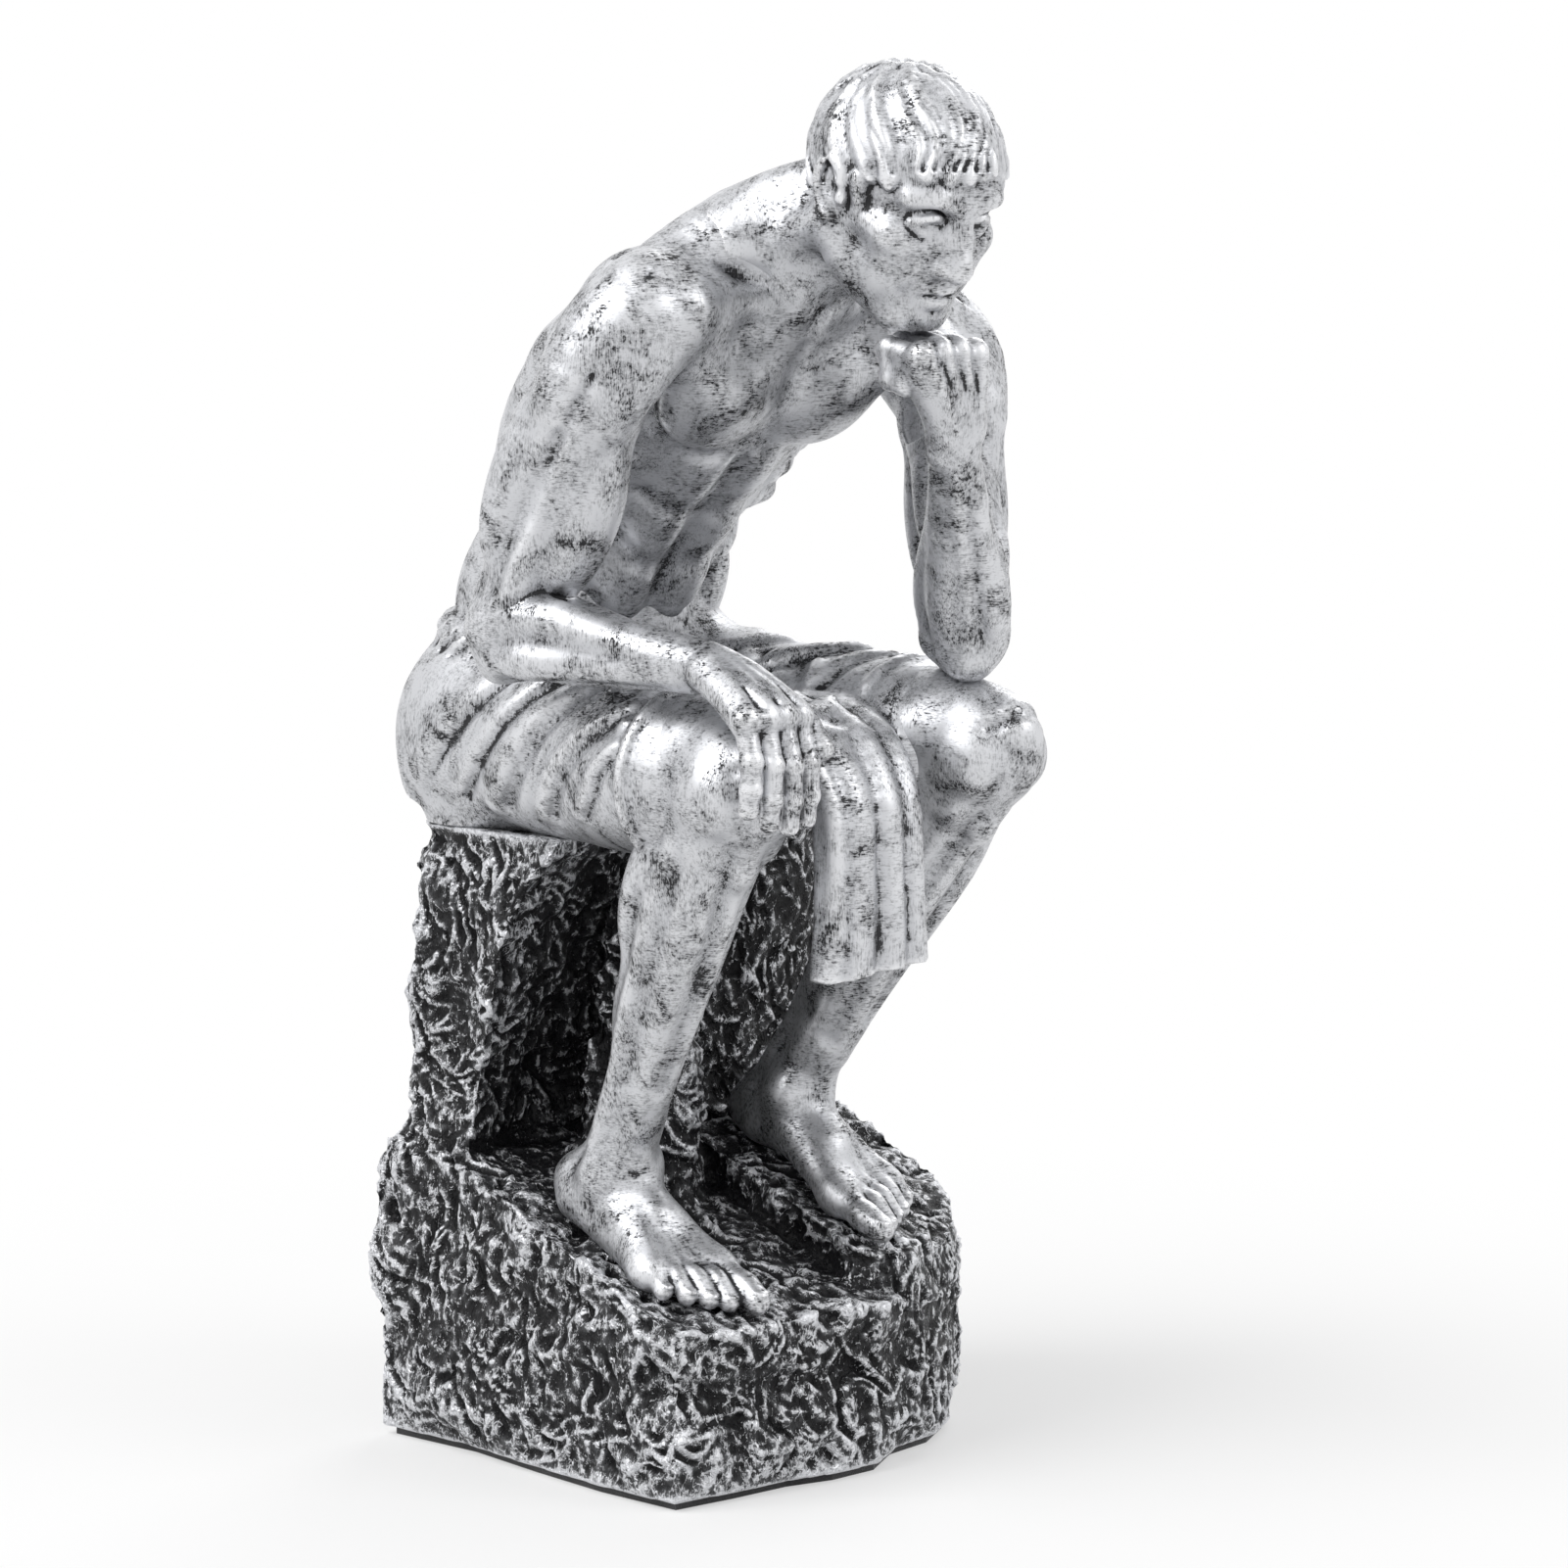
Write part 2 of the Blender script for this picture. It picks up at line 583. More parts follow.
def arm_forms(side):
    """The upper arm below the deltoid, the elbow and the forearm."""
    s = side_of[side]
    top, low, end = arm_top[side], elbow[side], wrist[side]
    bone = unit(low - top)
    length = np.linalg.norm(low - top)
    fore = unit(end - low)
    reach = np.linalg.norm(end - low)
    bend = unit(fore - bone * fore.dot(bone))
    across = np.cross(bone, bend)
    if across.dot(to_left * s) < 0:
        across = -across
    inner = unit(bone * -1 - fore * (bone * -1).dot(fore))

    def upper(share, ahead, out):
        return top + bone * (length * share) + bend * ahead + across * out

    def lower(share, ahead, out):
        return low + fore * (reach * share) + inner * ahead + across * out

    arm = Placed(upper, [across, bone, bend])
    forearm = Placed(lower, [across, fore, inner])
    return [
        arm.rod(3, (0.22, 0, 0, 8.8), (0.5, 0, 0, 8.0), (0.8, 0, 0, 6.9), (1.0, 0, 0, 6.6)),
        # biceps, the muscle below it, and the two heads behind
        arm.ball(2.0, (0.52, 5.6, -0.8), (7.2, 17.0, 6.8)),
        arm.rod(1.8, (0.50, 0.6, 5.2, 3.0), (0.72, 1.2, 5.4, 3.6), (0.96, 1.6, 3.6, 2.6)),
        arm.ball(2.0, (0.45, -5.6, 3.0), (6.3, 19, 6.6)),
        arm.ball(2.0, (0.52, -5.2, -4.0), (5.8, 18, 6.0)),
        limb([(upper(0.70, -5.4, 0), 3.2), (upper(1.0, -5.6, 0), 2.8), (lower(0.06, -5.4, 0), 3.0)],
             soft=2.2),
        # elbow
        arm.ball(2, (1.0, -0.4, -6.0), (2.8, 3.4, 3.4)),
        arm.ball(2, (0.98, -0.4, 4.7), (2.8, 4.0, 3.6)),
        forearm.ball(2.4, (-0.02, -5.8, 0), (4.8, 4.2, 4.2)),
        # forearm
        forearm.rod(
            2.6, (-0.03, 0, 0, 6.6), (0.15, 0, 0, 7.2), (0.36, 0, 0, 7.0), (0.62, 0, 0, 5.8),
            (0.85, 0, 0, 4.8), (1.0, 0, 0, 4.5),
        ),
        limb([(upper(0.76, 1.5, 4.4), 3.0), (lower(0.08, 3.4, 4.0), 4.1), (lower(0.30, 3.4, 3.9), 4.2),
              (lower(0.62, 1.4, 2.6), 2.4), (lower(0.9, 1.0, 2.2), 1.6)], soft=1.5),
        limb([(upper(0.98, 1.0, -5.0), 3.0), (lower(0.14, 2.6, -4.8), 4.4), (lower(0.34, 2.4, -4.2), 4.2),
              (lower(0.64, 1.5, -2.5), 2.4)], soft=1.5),
        forearm.rod(
            1.5, (0.02, -4.6, 3.6, 3.0), (0.22, -3.6, 4.2, 3.9), (0.5, -2.6, 3.0, 2.8),
            (0.85, -1.6, 1.8, 1.8),
        ),
        forearm.rod(1.5, (0.04, -4.8, -3.0, 2.8), (0.25, -4.0, -3.4, 3.4), (0.55, -2.8, -2.4, 2.4)),
        arm.line(2.0, -1.0, (0.26, 1.4, 8.4), (0.50, 0.4, 8.6), (0.85, -1.4, 7.4)),
        arm.line(2.0, -1.0, (0.30, 0.8, -8.2), (0.56, 0.8, -7.6), (0.85, 0, -7.0)),
        arm.line(2.0, -0.9, (0.30, -11.0, -0.2), (0.50, -11.0, -0.2), (0.68, -9.4, -0.2)),
        forearm.line(1.4, 0.6, (0.10, -7.4, 0.6), (0.45, -6.2, 0.5), (0.92, -3.8, 0.2)),
        forearm.line(1.5, -0.5, (0.10, -7.0, 2.6), (0.45, -5.8, 2.2), (0.80, -3.8, 1.4)),
        forearm.line(2.0, -1.0, (0.06, 7.4, 0.6), (0.26, 8.0, 0.6), (0.55, 5.8, 0.2)),
        forearm.line(1.8, -0.7, (0.16, 0.2, 9.2), (0.36, 0.2, 8.2), (0.62, -0.4, 6.0)),
        forearm.ball(1.4, (0.97, -2.2, -2.6), (2.2, 2.6, 2.2)),
        forearm.line(0.8, 0.5, (0.60, 4.6, 1.0), (0.98, 4.0, 0.8)),
        forearm.line(0.8, 0.5, (0.60, 4.6, -1.2), (0.98, 4.0, -1.0)),
    ]


def finger(joints, radius, nail=None):
    """A finger along its joints, with a knuckle at each and a nail on the side given."""
    forms = []
    for start, end, share in zip(joints[:-1], joints[1:], (1.0, 0.94, 0.86)):
        half = (start + end) / 2
        rows = [(start, radius * share), (half, radius * share * 0.97), (end, radius * share * 0.94)]
        forms.append(limb(rows, soft=0.5, steps=3))
    for joint in joints[1:-1]:
        forms.append(ellipsoid(joint, (radius * 0.98, radius * 1.04, radius * 1.04), soft=0.4))
    if nail is not None:
        back = unit(joints[-1] - joints[-2])
        place = joints[-1] - back * radius * 0.2 + nail * radius * 0.62
        size = (radius * 0.62, radius * 0.85, radius * 0.24)
        forms.append(ellipsoid(place, size, [np.cross(back, nail), back, nail], soft=0.3))
    return forms


finger_gap = 4.0


def right_hand_forms():
    """A hand laid over the knee, its fingers hanging over the front."""
    start = wrist["right"]
    knuckle_row = start + vec(0.5, -14.5, -7.2)
    hand_up = unit(vec(0, -0.48, 0.88))
    forms = [
        limb([(start, 4.4), (start + vec(0, -5, -2.2), 5.6), (start + vec(0.3, -11, -5.2), 6.6)],
             flat=hand_up, factor=0.58, soft=2.5),
    ]
    for index, length in enumerate((0.93, 1.0, 0.95, 0.80)):
        across = finger_gap * (1.5 - index)
        root = knuckle_row + vec(across, -0.6 * (1 - abs(index - 1.3) * 0.5), -0.3 * abs(index - 1.3))
        wrist_side = start + vec(across * 0.45, -1.5, -0.3)
        half = (wrist_side + root) / 2
        forms.append(limb([(wrist_side, 2.9), (half + hand_up * 0.5, 2.7), (root, 2.75)], soft=1.8))
        middle = root + vec(across * 0.06, -2.6, -8.2) * length
        far_joint = middle + vec(across * 0.03, 0.1, -6.0) * length
        tip = far_joint + vec(0, 1.0, -4.6) * length
        forms += finger([root, middle, far_joint, tip], 2.08, vec(0, -1, 0))
        forms.append(ellipsoid(root + hand_up * 0.7, (2.2, 2.2, 2.0), soft=1.2))
        tendon = [wrist_side + hand_up * 2.6, half + hand_up * 3.2, root + hand_up * 2.6]
        forms.append(stroke(tendon, 0.8, 0.5))
    for index in range(3):
        across = finger_gap * (1 - index)
        web = knuckle_row + vec(across, 0, 0)
        forms.append(stroke([web + hand_up * 2.8 + vec(0, 4, 2), web + hand_up * 2.6], 0.9, -0.6))
    thumb = [start + vec(4.2, -3.5, -2.2), start + vec(8.2, -9.0, -6.0), start + vec(9.4, -14.0, -9.6),
             start + vec(9.6, -17.4, -13.0)]
    forms.append(limb([(thumb[0], 3.4), (thumb[1], 2.9)], soft=2.5))
    forms += finger(thumb[1:], 2.5, unit(vec(0.5, -0.6, 0.5)))
    return forms


def left_hand_forms():
    """A loose fist, upright under the chin, its back to the front."""
    start = wrist["left"]
    knuckle_row = vec(-6.5, -68.5, 204.4)
    forms = [
        limb([(start, 4.5), (start + vec(-1.6, -1.2, 5), 5.8), (knuckle_row + vec(0, 2.2, -4), 7.0)],
             flat=vec(-0.1, 1, 0.1), factor=0.66, soft=2.5),
    ]
    for index, length in enumerate((0.95, 1.0, 0.96, 0.84)):
        across = finger_gap * (1.5 - index)
        root = knuckle_row + vec(across, 0.3 * abs(index - 1.3), -0.5 * abs(index - 1.2))
        wrist_side = start + vec(across * 0.45 - 0.5, -1.2, 1.5)
        half = (wrist_side + root) / 2
        forms.append(limb([(wrist_side, 2.8), (half + vec(0, -0.6, 0), 2.8), (root, 2.9)], soft=1.8))
        middle = root + vec(-0.4, 9.4, 1.9) * length
        far_joint = middle + vec(0, -0.6, -6.4) * length
        tip = far_joint + vec(0, -4.4, -1.6) * length
        forms += finger([root, middle, far_joint, tip], 2.15)
        forms.append(ellipsoid(root + vec(0, -0.5, 0.4), (2.3, 2.3, 2.3), soft=1.2))
        forms.append(stroke([wrist_side + vec(0, -2.8, 0), root + vec(0, -2.8, -2)], 0.8, 0.5))
    forms.append(ellipsoid(knuckle_row + vec(0.4, 5.0, -3.4), (7.0, 5.0, 5.0), soft=2.0))
    for index in range(3):
        across = finger_gap * (1 - index)
        groove = [knuckle_row + vec(across, 0, 3.4), knuckle_row + vec(across, -3.0, -0.6),
                  start + vec(across * 0.7 - 1.0, -4.4, 7.5)]
        forms.append(stroke(groove, 1.4, -0.75))
    forms.append(ellipsoid(knuckle_row + vec(-6.0, 4.6, -3.2), (2.0, 4.4, 3.8), soft=1.0))
    thumb = [start + vec(3.4, 0.5, 3.0), start + vec(5.6, 3.4, 8.0), start + vec(3.6, 6.8, 11.0),
             start + vec(-0.4, 7.6, 11.6)]
    forms.append(limb([(thumb[0], 3.4), (thumb[1], 2.9)], soft=2.5))
    forms += finger(thumb[1:], 2.5, unit(vec(0.3, 0.5, 0.8)))
    return forms


def leg_forms(side):
    """The knee and the shank, with the end of the thigh."""
    s = side_of[side]
    high, top, low = hip[side], knee[side], ankle[side]
    thigh = unit(top - high)
    bone = unit(low - top)
    length = np.linalg.norm(low - top)
    ahead = unit(thigh - bone * thigh.dot(bone))
    out = np.cross(bone, ahead)
    if out.dot(to_left * s) < 0:
        out = -out
    up = unit(vec(0, 0, 1) - thigh * thigh[2])
    thigh_length = np.linalg.norm(top - high)

    def shank(share, forward, outer):
        return top + bone * (length * share) + ahead * forward + out * outer

    def thigh_at(share, rise, outer):
        return high + thigh * (thigh_length * share) + up * rise + to_left * (s * outer)

    shin = Placed(shank, [out, bone, ahead])
    ham = Placed(thigh_at, [to_left, thigh, up])
    cap = unit(thigh + up * 0.55)
    return [
        ham.rod(0, (0.62, 0, 0, 14.8), (0.80, 0.2, 0, 13.2), (0.95, 0, 0, 11.2), (1.02, -0.6, 0, 10.2)),
        ham.ball(2.4, (0.84, 3.4, -6.8), (6.2, 11, 7.2)),
        ham.ball(2.4, (0.80, 3.8, 6.8), (6.0, 13, 7.2)),
        ham.ball(2.4, (0.78, 7.2, 0.2), (6.2, 15, 6.4)),
        ham.ball(3.5, (0.90, 6.4, 0), (9.0, 11, 7.6)),
        shin.rod(
            3, (-0.02, 0, 0, 10.4), (0.10, -0.4, 0, 9.4), (0.25, -1.4, 0, 8.8), (0.45, -1.8, 0, 8.2),
            (0.68, -1.4, 0, 6.5), (0.88, -0.6, 0, 5.5), (1.0, 0, 0, 5.6),
        ),
        # knee cap, its tendon and the ends of the bones
        ellipsoid(top + cap * 9.6, (5.2, 5.8, 4.4), [to_left, np.cross(cap, to_left), cap], soft=1.6),
        limb([(top + cap * 11 - up * 3, 2.8), (shank(0.14, 8.0, 0), 2.6)], soft=1.8),
        shin.ball(1.8, (0.15, 7.4, 0), (2.8, 4.0, 2.8)),
        shin.ball(2.2, (0.0, 2.5, 7.6), (4.0, 6.4, 6.8)),
        shin.ball(2.2, (0.0, 2.5, -7.6), (4.2, 6.4, 6.8)),
        shin.ball(2.2, (0.10, 3.4, 6.0), (3.4, 4.4, 4.2)),
        shin.ball(2.2, (0.10, 3.4, -6.0), (3.6, 4.4, 4.2)),
        # shin, calf and heel cord
        shin.rod(
            1.8, (0.14, 7.0, -0.4, 2.4), (0.45, 5.0, -1.4, 2.2), (0.75, 3.4, -1.6, 2.0),
            (0.97, 2.0, -1.4, 2.2),
        ),
        shin.rod(
            2.2, (0.12, 3.8, 5.0, 3.6), (0.30, 4.2, 4.4, 4.2), (0.6, 3.2, 2.6, 3.0), (0.86, 2.8, 0.8, 1.9),
        ),
        shin.rod(
            2.2, (0.14, -0.6, 7.2, 3.0), (0.40, -1.0, 6.8, 3.3), (0.70, -2.0, 5.0, 2.5),
            (0.95, -2.6, 4.6, 1.8),
        ),
        shin.ball(2.2, (0.32, -7.0, -4.6), (6.8, 19, 7.2)),
        shin.ball(2.2, (0.29, -6.4, 4.8), (6.4, 17, 6.8)),
        shin.ball(3.0, (0.53, -4.2, 0), (8.2, 20, 6.2)),
        shin.rod(
            2.6, (0.56, -8.2, 0, 3.4), (0.82, -7.4, 0, 2.5), (1.0, -7.8, 0, 2.5), (1.12, -7.8, 0, 3.4),
        ),
        shin.ball(3.2, (1.0, 0.6, -5.2), (2.4, 4.0, 3.4)),
        shin.ball(3.2, (1.04, -0.8, 5.0), (2.4, 4.2, 3.2)),
        shin.line(2.2, -1.2, (0.14, -13, 0), (0.34, -14.4, 0.2), (0.5, -12.0, 0.2)),
        shin.line(2.2, -0.8, (0.26, -2.6, -10.6), (0.50, -3.2, -9.2), (0.78, -4.0, -5.6)),
        shin.line(2.0, -0.6, (0.20, 1.8, 9.4), (0.45, 1.2, 8.2), (0.75, 0.6, 5.8)),
        shin.line(2.0, -0.8, (0.30, -4.6, 10.0), (0.50, -4.8, 8.6), (0.8, -5.0, 4.6)),
        shin.line(1.8, -0.5, (0.16, 8.6, 2.6), (0.40, 7.6, 1.8), (0.74, 5.8, 0.8)),
        shin.line(2.0, -0.6, (0.18, 7.2, -3.8), (0.45, 5.4, -4.8), (0.80, 3.0, -4.0)),
        stroke([top + cap * 10 + to_left * 7, top + cap * 14 + up, top + cap * 10 - to_left * 7], 1.2, -0.7),
    ]


def foot_forms(side):
    """The foot, flat on the rock, with its toes."""
    s = side_of[side]

    def at(ahead, outer, rise):
        return sole[side] + sole_ahead * ahead + to_left * (s * outer) + sole_up * rise

    foot = Placed(at, [to_left, sole_ahead, sole_up])
    forms = [
        foot.ball(3, (-7.2, 0, 5.2), (5.6, 7.2, 6.0)),
        limb([(ankle[side], 5.4), (at(4, -0.2, 8.6), 5.6), (at(11, -0.4, 6.6), 5.2)], soft=4),
        foot.rod(4, (-5, 3.0, 2.8, 3.4), (8, 4.4, 2.6, 3.2), (19, 6.6, 2.6, 2.9)),
        foot.rod(4, (-4, -2.2, 4.4, 3.6), (8, -2.6, 5.6, 3.8), (22, -5.6, 3.2, 3.4)),
        foot.ball(2.5, (23.5, -6.4, 3.0), (3.6, 4.6, 3.3)),
        foot.ball(2.5, (20.5, 6.8, 2.6), (3.2, 4.4, 2.8)),
    ]
    for index in range(5):
        across = 3.5 * (index - 2)
        ball, tendon = 23 - index * 0.5, 23.5 - index * 0.6
        forms += [
            foot.rod(
                2.6, (6, across * 0.5, 6.6, 3.0), (14, across * 0.75, 5.0, 2.7), (ball, across, 3.0, 2.4),
            ),
            foot.line(0.8, 0.55, (4, across * 0.3, 11.5), (14, across * 0.72, 7.6), (tendon, across, 5.4)),
        ]
    big = [at(25, -6.6, 3.2), at(31, -6.9, 3.1), at(35.0, -6.5, 2.6)]
    forms.append(limb([(big[0], 3.0), ((big[0] + big[1]) / 2, 2.7), (big[1], 2.9), (big[2], 2.5)], soft=1.0))
    forms.append(foot.ball(0.3, (35.0, -6.6, 4.7), (1.7, 1.9, 0.5)))
    for index in range(4):
        across = -2.4 + 3.35 * index
        reach = 27.0 - 1.5 * index - 0.25 * index**2
        radius = 2.0 - 0.08 * index
        forms += [
            foot.rod(
                0.8, (reach - 3.2, across * 0.96, 3.0, radius), (reach + 0.6, across, 3.9, radius),
                (reach + 3.8, across, 2.8, radius * 0.92), (reach + 5.4, across, 1.9, radius),
            ),
            foot.ball(0.2, (reach + 6.2, across, 3.3), (1.1, 1.2, 0.4)),
        ]
    return forms


def face_forms():
    """A calm, plain face of common proportions, and the ears."""
    middle = Placed(skull, head_axes)
    forms = [
        middle.ball(4, (0, -2.4, 5.0), (14.0, 17.2, 16.2)),
        middle.ball(3, (0, 5.2, 6.0), (12.4, 10.2, 11.0)),
        middle.ball(3, (0, 4.2, -5.4), (11.4, 10.8, 13.0)),
        middle.ball(3, (0, 3.6, -10.5), (10.6, 9.6, 8.6)),
        middle.ball(3.5, (0, 11.0, -17.4), (4.8, 4.0, 3.8)),
        middle.ball(3, (0, 12.4, -11.6), (5.2, 3.2, 4.6)),
    ]
    for s in (RIGHT, LEFT):
        side = Placed(skull, head_axes, s)
        forms += [
            side.rod(4, (10.6, -2.0, -4, 3.6), (10.0, 0, -11, 3.8), (3.4, 9.6, -17.6, 3.8)),
            side.ball(3.5, (8.8, 9.4, -3.8), (4.2, 4.0, 3.2)),
            side.ball(3, (11.2, 3.6, -3.0), (2.0, 6.0, 1.8)),
            side.ball(3.5, (7.0, 8.4, -9.0), (4.0, 4.4, 6.0)),
            # eye
            side.ball(2.6, (6.2, 15.4, 0.9), (4.4, 3.4, 3.0), "cut"),
            side.ball(0.4, (6.1, 10.8, 0.6), (3.3, 3.0, 3.0)),
            # beside the nose
            side.ball(2.6, (3.6, 12.6, -4.4), (2.6, 2.6, 4.4)),
            side.ball(2.6, (4.2, 12.4, -8.2), (2.8, 2.6, 3.2)),
            side.rod(
                0.7, (3.1, 12.9, 0.2, 0.55), (4.6, 13.8, 1.5, 0.75), (6.6, 13.9, 1.7, 0.8),
                (9.0, 12.2, 0.3, 0.6),
            ),
            side.rod(
                0.8, (3.1, 12.9, 0.0, 0.5), (5.0, 13.6, -1.3, 0.6), (7.2, 13.3, -1.2, 0.6),
                (9.2, 12.0, -0.1, 0.5),
            ),
            side.line(0.65, -0.35, (3.6, 13.4, 2.6), (6.4, 14.4, 3.1), (9.8, 12.2, 1.6)),
            # brow
            side.rod(3.0, (2.4, 14.7, 4.2, 1.1), (6.4, 14.4, 5.4, 1.2), (10.4, 11.4, 4.2, 1.0)),
            # side and wing of the nose
            side.ball(1.8, (1.7, 14.4, -3.8), (2.0, 3.0, 4.6)),
            side.ball(2.2, (2.4, 16.2, -6.9), (1.9, 2.3, 1.6)),
            side.line(0.6, -0.35, (1.3, 16.4, -9.0), (1.6, 17.4, -8.9)),
            side.line(1.3, -0.25, (4.2, 15.2, -6.8), (5.6, 14.2, -9.6), (6.4, 12.8, -12.4)),
            # ear
            side.ball(1.2, (14.4, -2.4, -0.2), (1.6, 3.4, 5.2)),
            side.rod(
                0.7, (15.3, 0.2, 0.4, 0.8), (15.9, -0.6, 4.0, 0.9), (16.2, -4.0, 4.8, 0.95),
                (16.2, -5.8, 1.6, 0.9), (15.6, -4.4, -2.8, 0.85), (15.0, -2.2, -5.0, 1.4),
            ),
            side.ball(0.8, (16.2, -2.2, 0.8), (1.1, 1.8, 2.8), "cut"),
            side.ball(0.8, (15.4, 0.6, -0.8), (1.0, 1.0, 1.2)),
        ]
    forms += [
        middle.rod(
            1.8, (0, 14.2, 4.0, 2.0), (0, 16.0, -1.0, 1.7), (0, 17.8, -4.8, 2.0), (0, 18.2, -6.6, 2.2),
        ),
        middle.line(0.8, -0.5, (0, 16.2, -8.8), (0, 16.4, -10.8)),
        middle.rod(
            0.9, (-4.6, 12.9, -12.5, 0.7), (-2.0, 14.6, -11.5, 1.1), (0, 15.0, -11.8, 1.0),
            (2.0, 14.6, -11.5, 1.1), (4.6, 12.9, -12.5, 0.7),
        ),
        middle.rod(0.9, (-4.2, 12.8, -13.1, 0.8), (0, 14.4, -13.9, 1.35), (4.2, 12.8, -13.1, 0.8)),
        middle.line(
            0.55, -0.6, (-5.0, 12.9, -12.7), (-2.2, 15.2, -12.5), (0, 15.9, -12.8), (2.2, 15.2, -12.5),
            (5.0, 12.9, -12.7),
        ),
        middle.line(0.9, -0.6, (-3.4, 13.4, -15.6), (0, 14.4, -15.8), (3.4, 13.4, -15.6)),
    ]
    return forms


# Cloth: a wrap round the hips, over the thighs, with a fold that hangs between the knees
hem_share = 0.80
seat_z = 116.0


def ring_points(centre, across, ahead, turns=24):
    """Points of a closed oval ring round a centre, from its two half axes."""
    return [
        centre + across * math.cos(2 * math.pi * k / turns) + ahead * math.sin(2 * math.pi * k / turns)
        for k in range(turns + 1)
    ]


def cloth_forms():
    """Hips and thighs under cloth."""
    pelvis = vec(middle_x, 28, seat_z)
    forms = [
        limb([(pelvis, 31.0), (pelvis + vec(0, -1.0, 12), 31.8), (pelvis + vec(0, -3, 24), 30),
              (waist + vec(0, 0, -2), 28.5), (waist + vec(0, -0.2, 1.0), 28)],
             flat=vec(0, 1, 0), factor=0.62, soft=0),
    ]
    for side in ("right", "left"):
        s = side_of[side]
        start, thigh = hip[side], knee[side] - hip[side]
        rows = ((-0.03, 16.8), (0.25, 17.2), (0.55, 16.2), (hem_share, 15.4))
        forms += [
            limb([(start + thigh * share, radius) for share, radius in rows], soft=7),
            limb([(start + thigh * 0.02 + vec(s * 3, 0, 2), 15), (start + thigh * 0.3 + vec(s, 0, 3), 13)],
                 soft=6),
        ]
    # cloth that bridges the thighs and hangs between the knees
    forms.append(limb(apron_path(0), flat=apron_flats, factor=0.30, soft=5))
    return forms


apron_rows = (
    (14, 137.5, 15.0, (0, 0, 1)), (-12, 137.0, 14.0, (0, 0, 1)), (-33, 136.5, 12.5, (0, -0.15, 1)),
    (-45, 133.0, 11.6, (0, -0.6, 0.8)), (-51, 124.5, 11.0, (0, -1, 0.25)), (-52.5, 109, 11.2, (0, -1, 0)),
    (-52.3, 94, 12.0, (0, -1, 0)),
)
apron_flats = [vec(*row[3]) for row in apron_rows]


def apron_path(share):
    """The path of the hanging cloth at a share of its half width, with its half width."""
    return [(vec(middle_x + share * half, y, z), half) for y, z, half, _ in apron_rows]


# Folds along the hanging cloth: share of its half width, and thickness in mm
apron_folds = ((-0.90, 1.3), (-0.50, 2.0), (-0.08, 1.2), (0.34, 2.1), (0.66, 1.1), (0.96, 1.6))

# Folds on a thigh: share along it and degrees round it from the outer side, at both ends, and size
thigh_folds = (
    (-0.04, -30, 0.30, 70, 1.0), (0.10, -34, 0.44, 62, 0.8), (0.24, -36, 0.60, 76, 1.1),
    (0.44, -36, 0.72, 50, 0.85), (0.20, 70, 0.02, 150, 0.9), (0.42, 84, 0.22, 164, 0.8),
    (0.66, 60, 0.42, 160, 1.0), (0.76, 40, 0.64, 170, 0.7), (0.60, -30, 0.765, 20, 0.65),
)
hem_radius = 15.3
hem_edge = 1.25
band_half = (28.4, 19.2)
band_edge = 3.2


def thigh_fold_forms(side):
    """Folds round a thigh, each a ridge with a groove beside it, and the rolled hem."""
    forms = []
    start, thigh = hip[side], knee[side] - hip[side]
    along = unit(thigh)
    up = unit(vec(0, 0, 1) - along * along[2])
    s = side_of[side]
    out = to_left * s
    for index, (low_share, low_angle, high_share, high_angle, size) in enumerate(thigh_folds):
        crest = []
        for step in range(6):
            t = step / 5
            share = low_share + (high_share - low_share) * t + 0.012 * math.sin(t * 5 + index + s)
            angle = math.radians(low_angle + (high_angle - low_angle) * t)
            radius = 17.5 - 2.4 * share
            crest.append(start + thigh * share + (out * math.cos(angle) + up * math.sin(angle)) * radius)
        forms.append(stroke(crest, 2.3 * size, 1.5 * size))
        forms.append(stroke([point + along * 4.2 * size for point in crest], 1.7 * size, -1.2 * size))
    centre = start + thigh * (hem_share + 0.005)
    ring = ring_points(centre, out * hem_radius, up * hem_radius)
    forms.append(limb([(point, hem_edge) for point in ring], soft=1.0, steps=1))
    return forms


def sag_forms():
    """Folds that sag between the thighs, each a ridge and then a groove in front of it."""
    forms = []
    for index in range(6):
        for shift, width, height in ((0, 1.9, 1.1), (5, 1.5, -1.0)):
            y = 10 - 9.5 * index
            forms.append(
                stroke([vec(-27, y + 4 - shift, 147 - index * 0.5), vec(-19, y - shift, 142),
                        vec(middle_x, y - 3 - shift, 140.2 - 0.3 * index), vec(-5, y - shift, 142.4),
                        vec(4, y + 5 - shift, 147)], width, height)
            )
    return forms


def apron_fold_forms():
    """Folds along the hanging cloth, which ends in a slanting hem."""
    forms = []
    for index, (share, thick) in enumerate(apron_folds):
        sway = 0.9 * math.sin(index * 1.9 + 0.6)
        ridge = []
        for step, ((point, _), flat) in enumerate(zip(apron_path(share), apron_flats)):
            bend = to_left * (sway * (0.4 * step + 0.8 * math.sin(step * 1.7 + index)))
            ridge.append((point + unit(flat) * 3.0 + bend, thick * (0.6 + 0.13 * step)))
        forms.append(limb(ridge[1:], soft=2.3))
    room = (vec(middle_x, -52, 78), 26)
    forms.append(half_space(vec(middle_x, -50, 94.5), vec(0.10, 0, -1), within=room, action="cutaway"))
    return forms


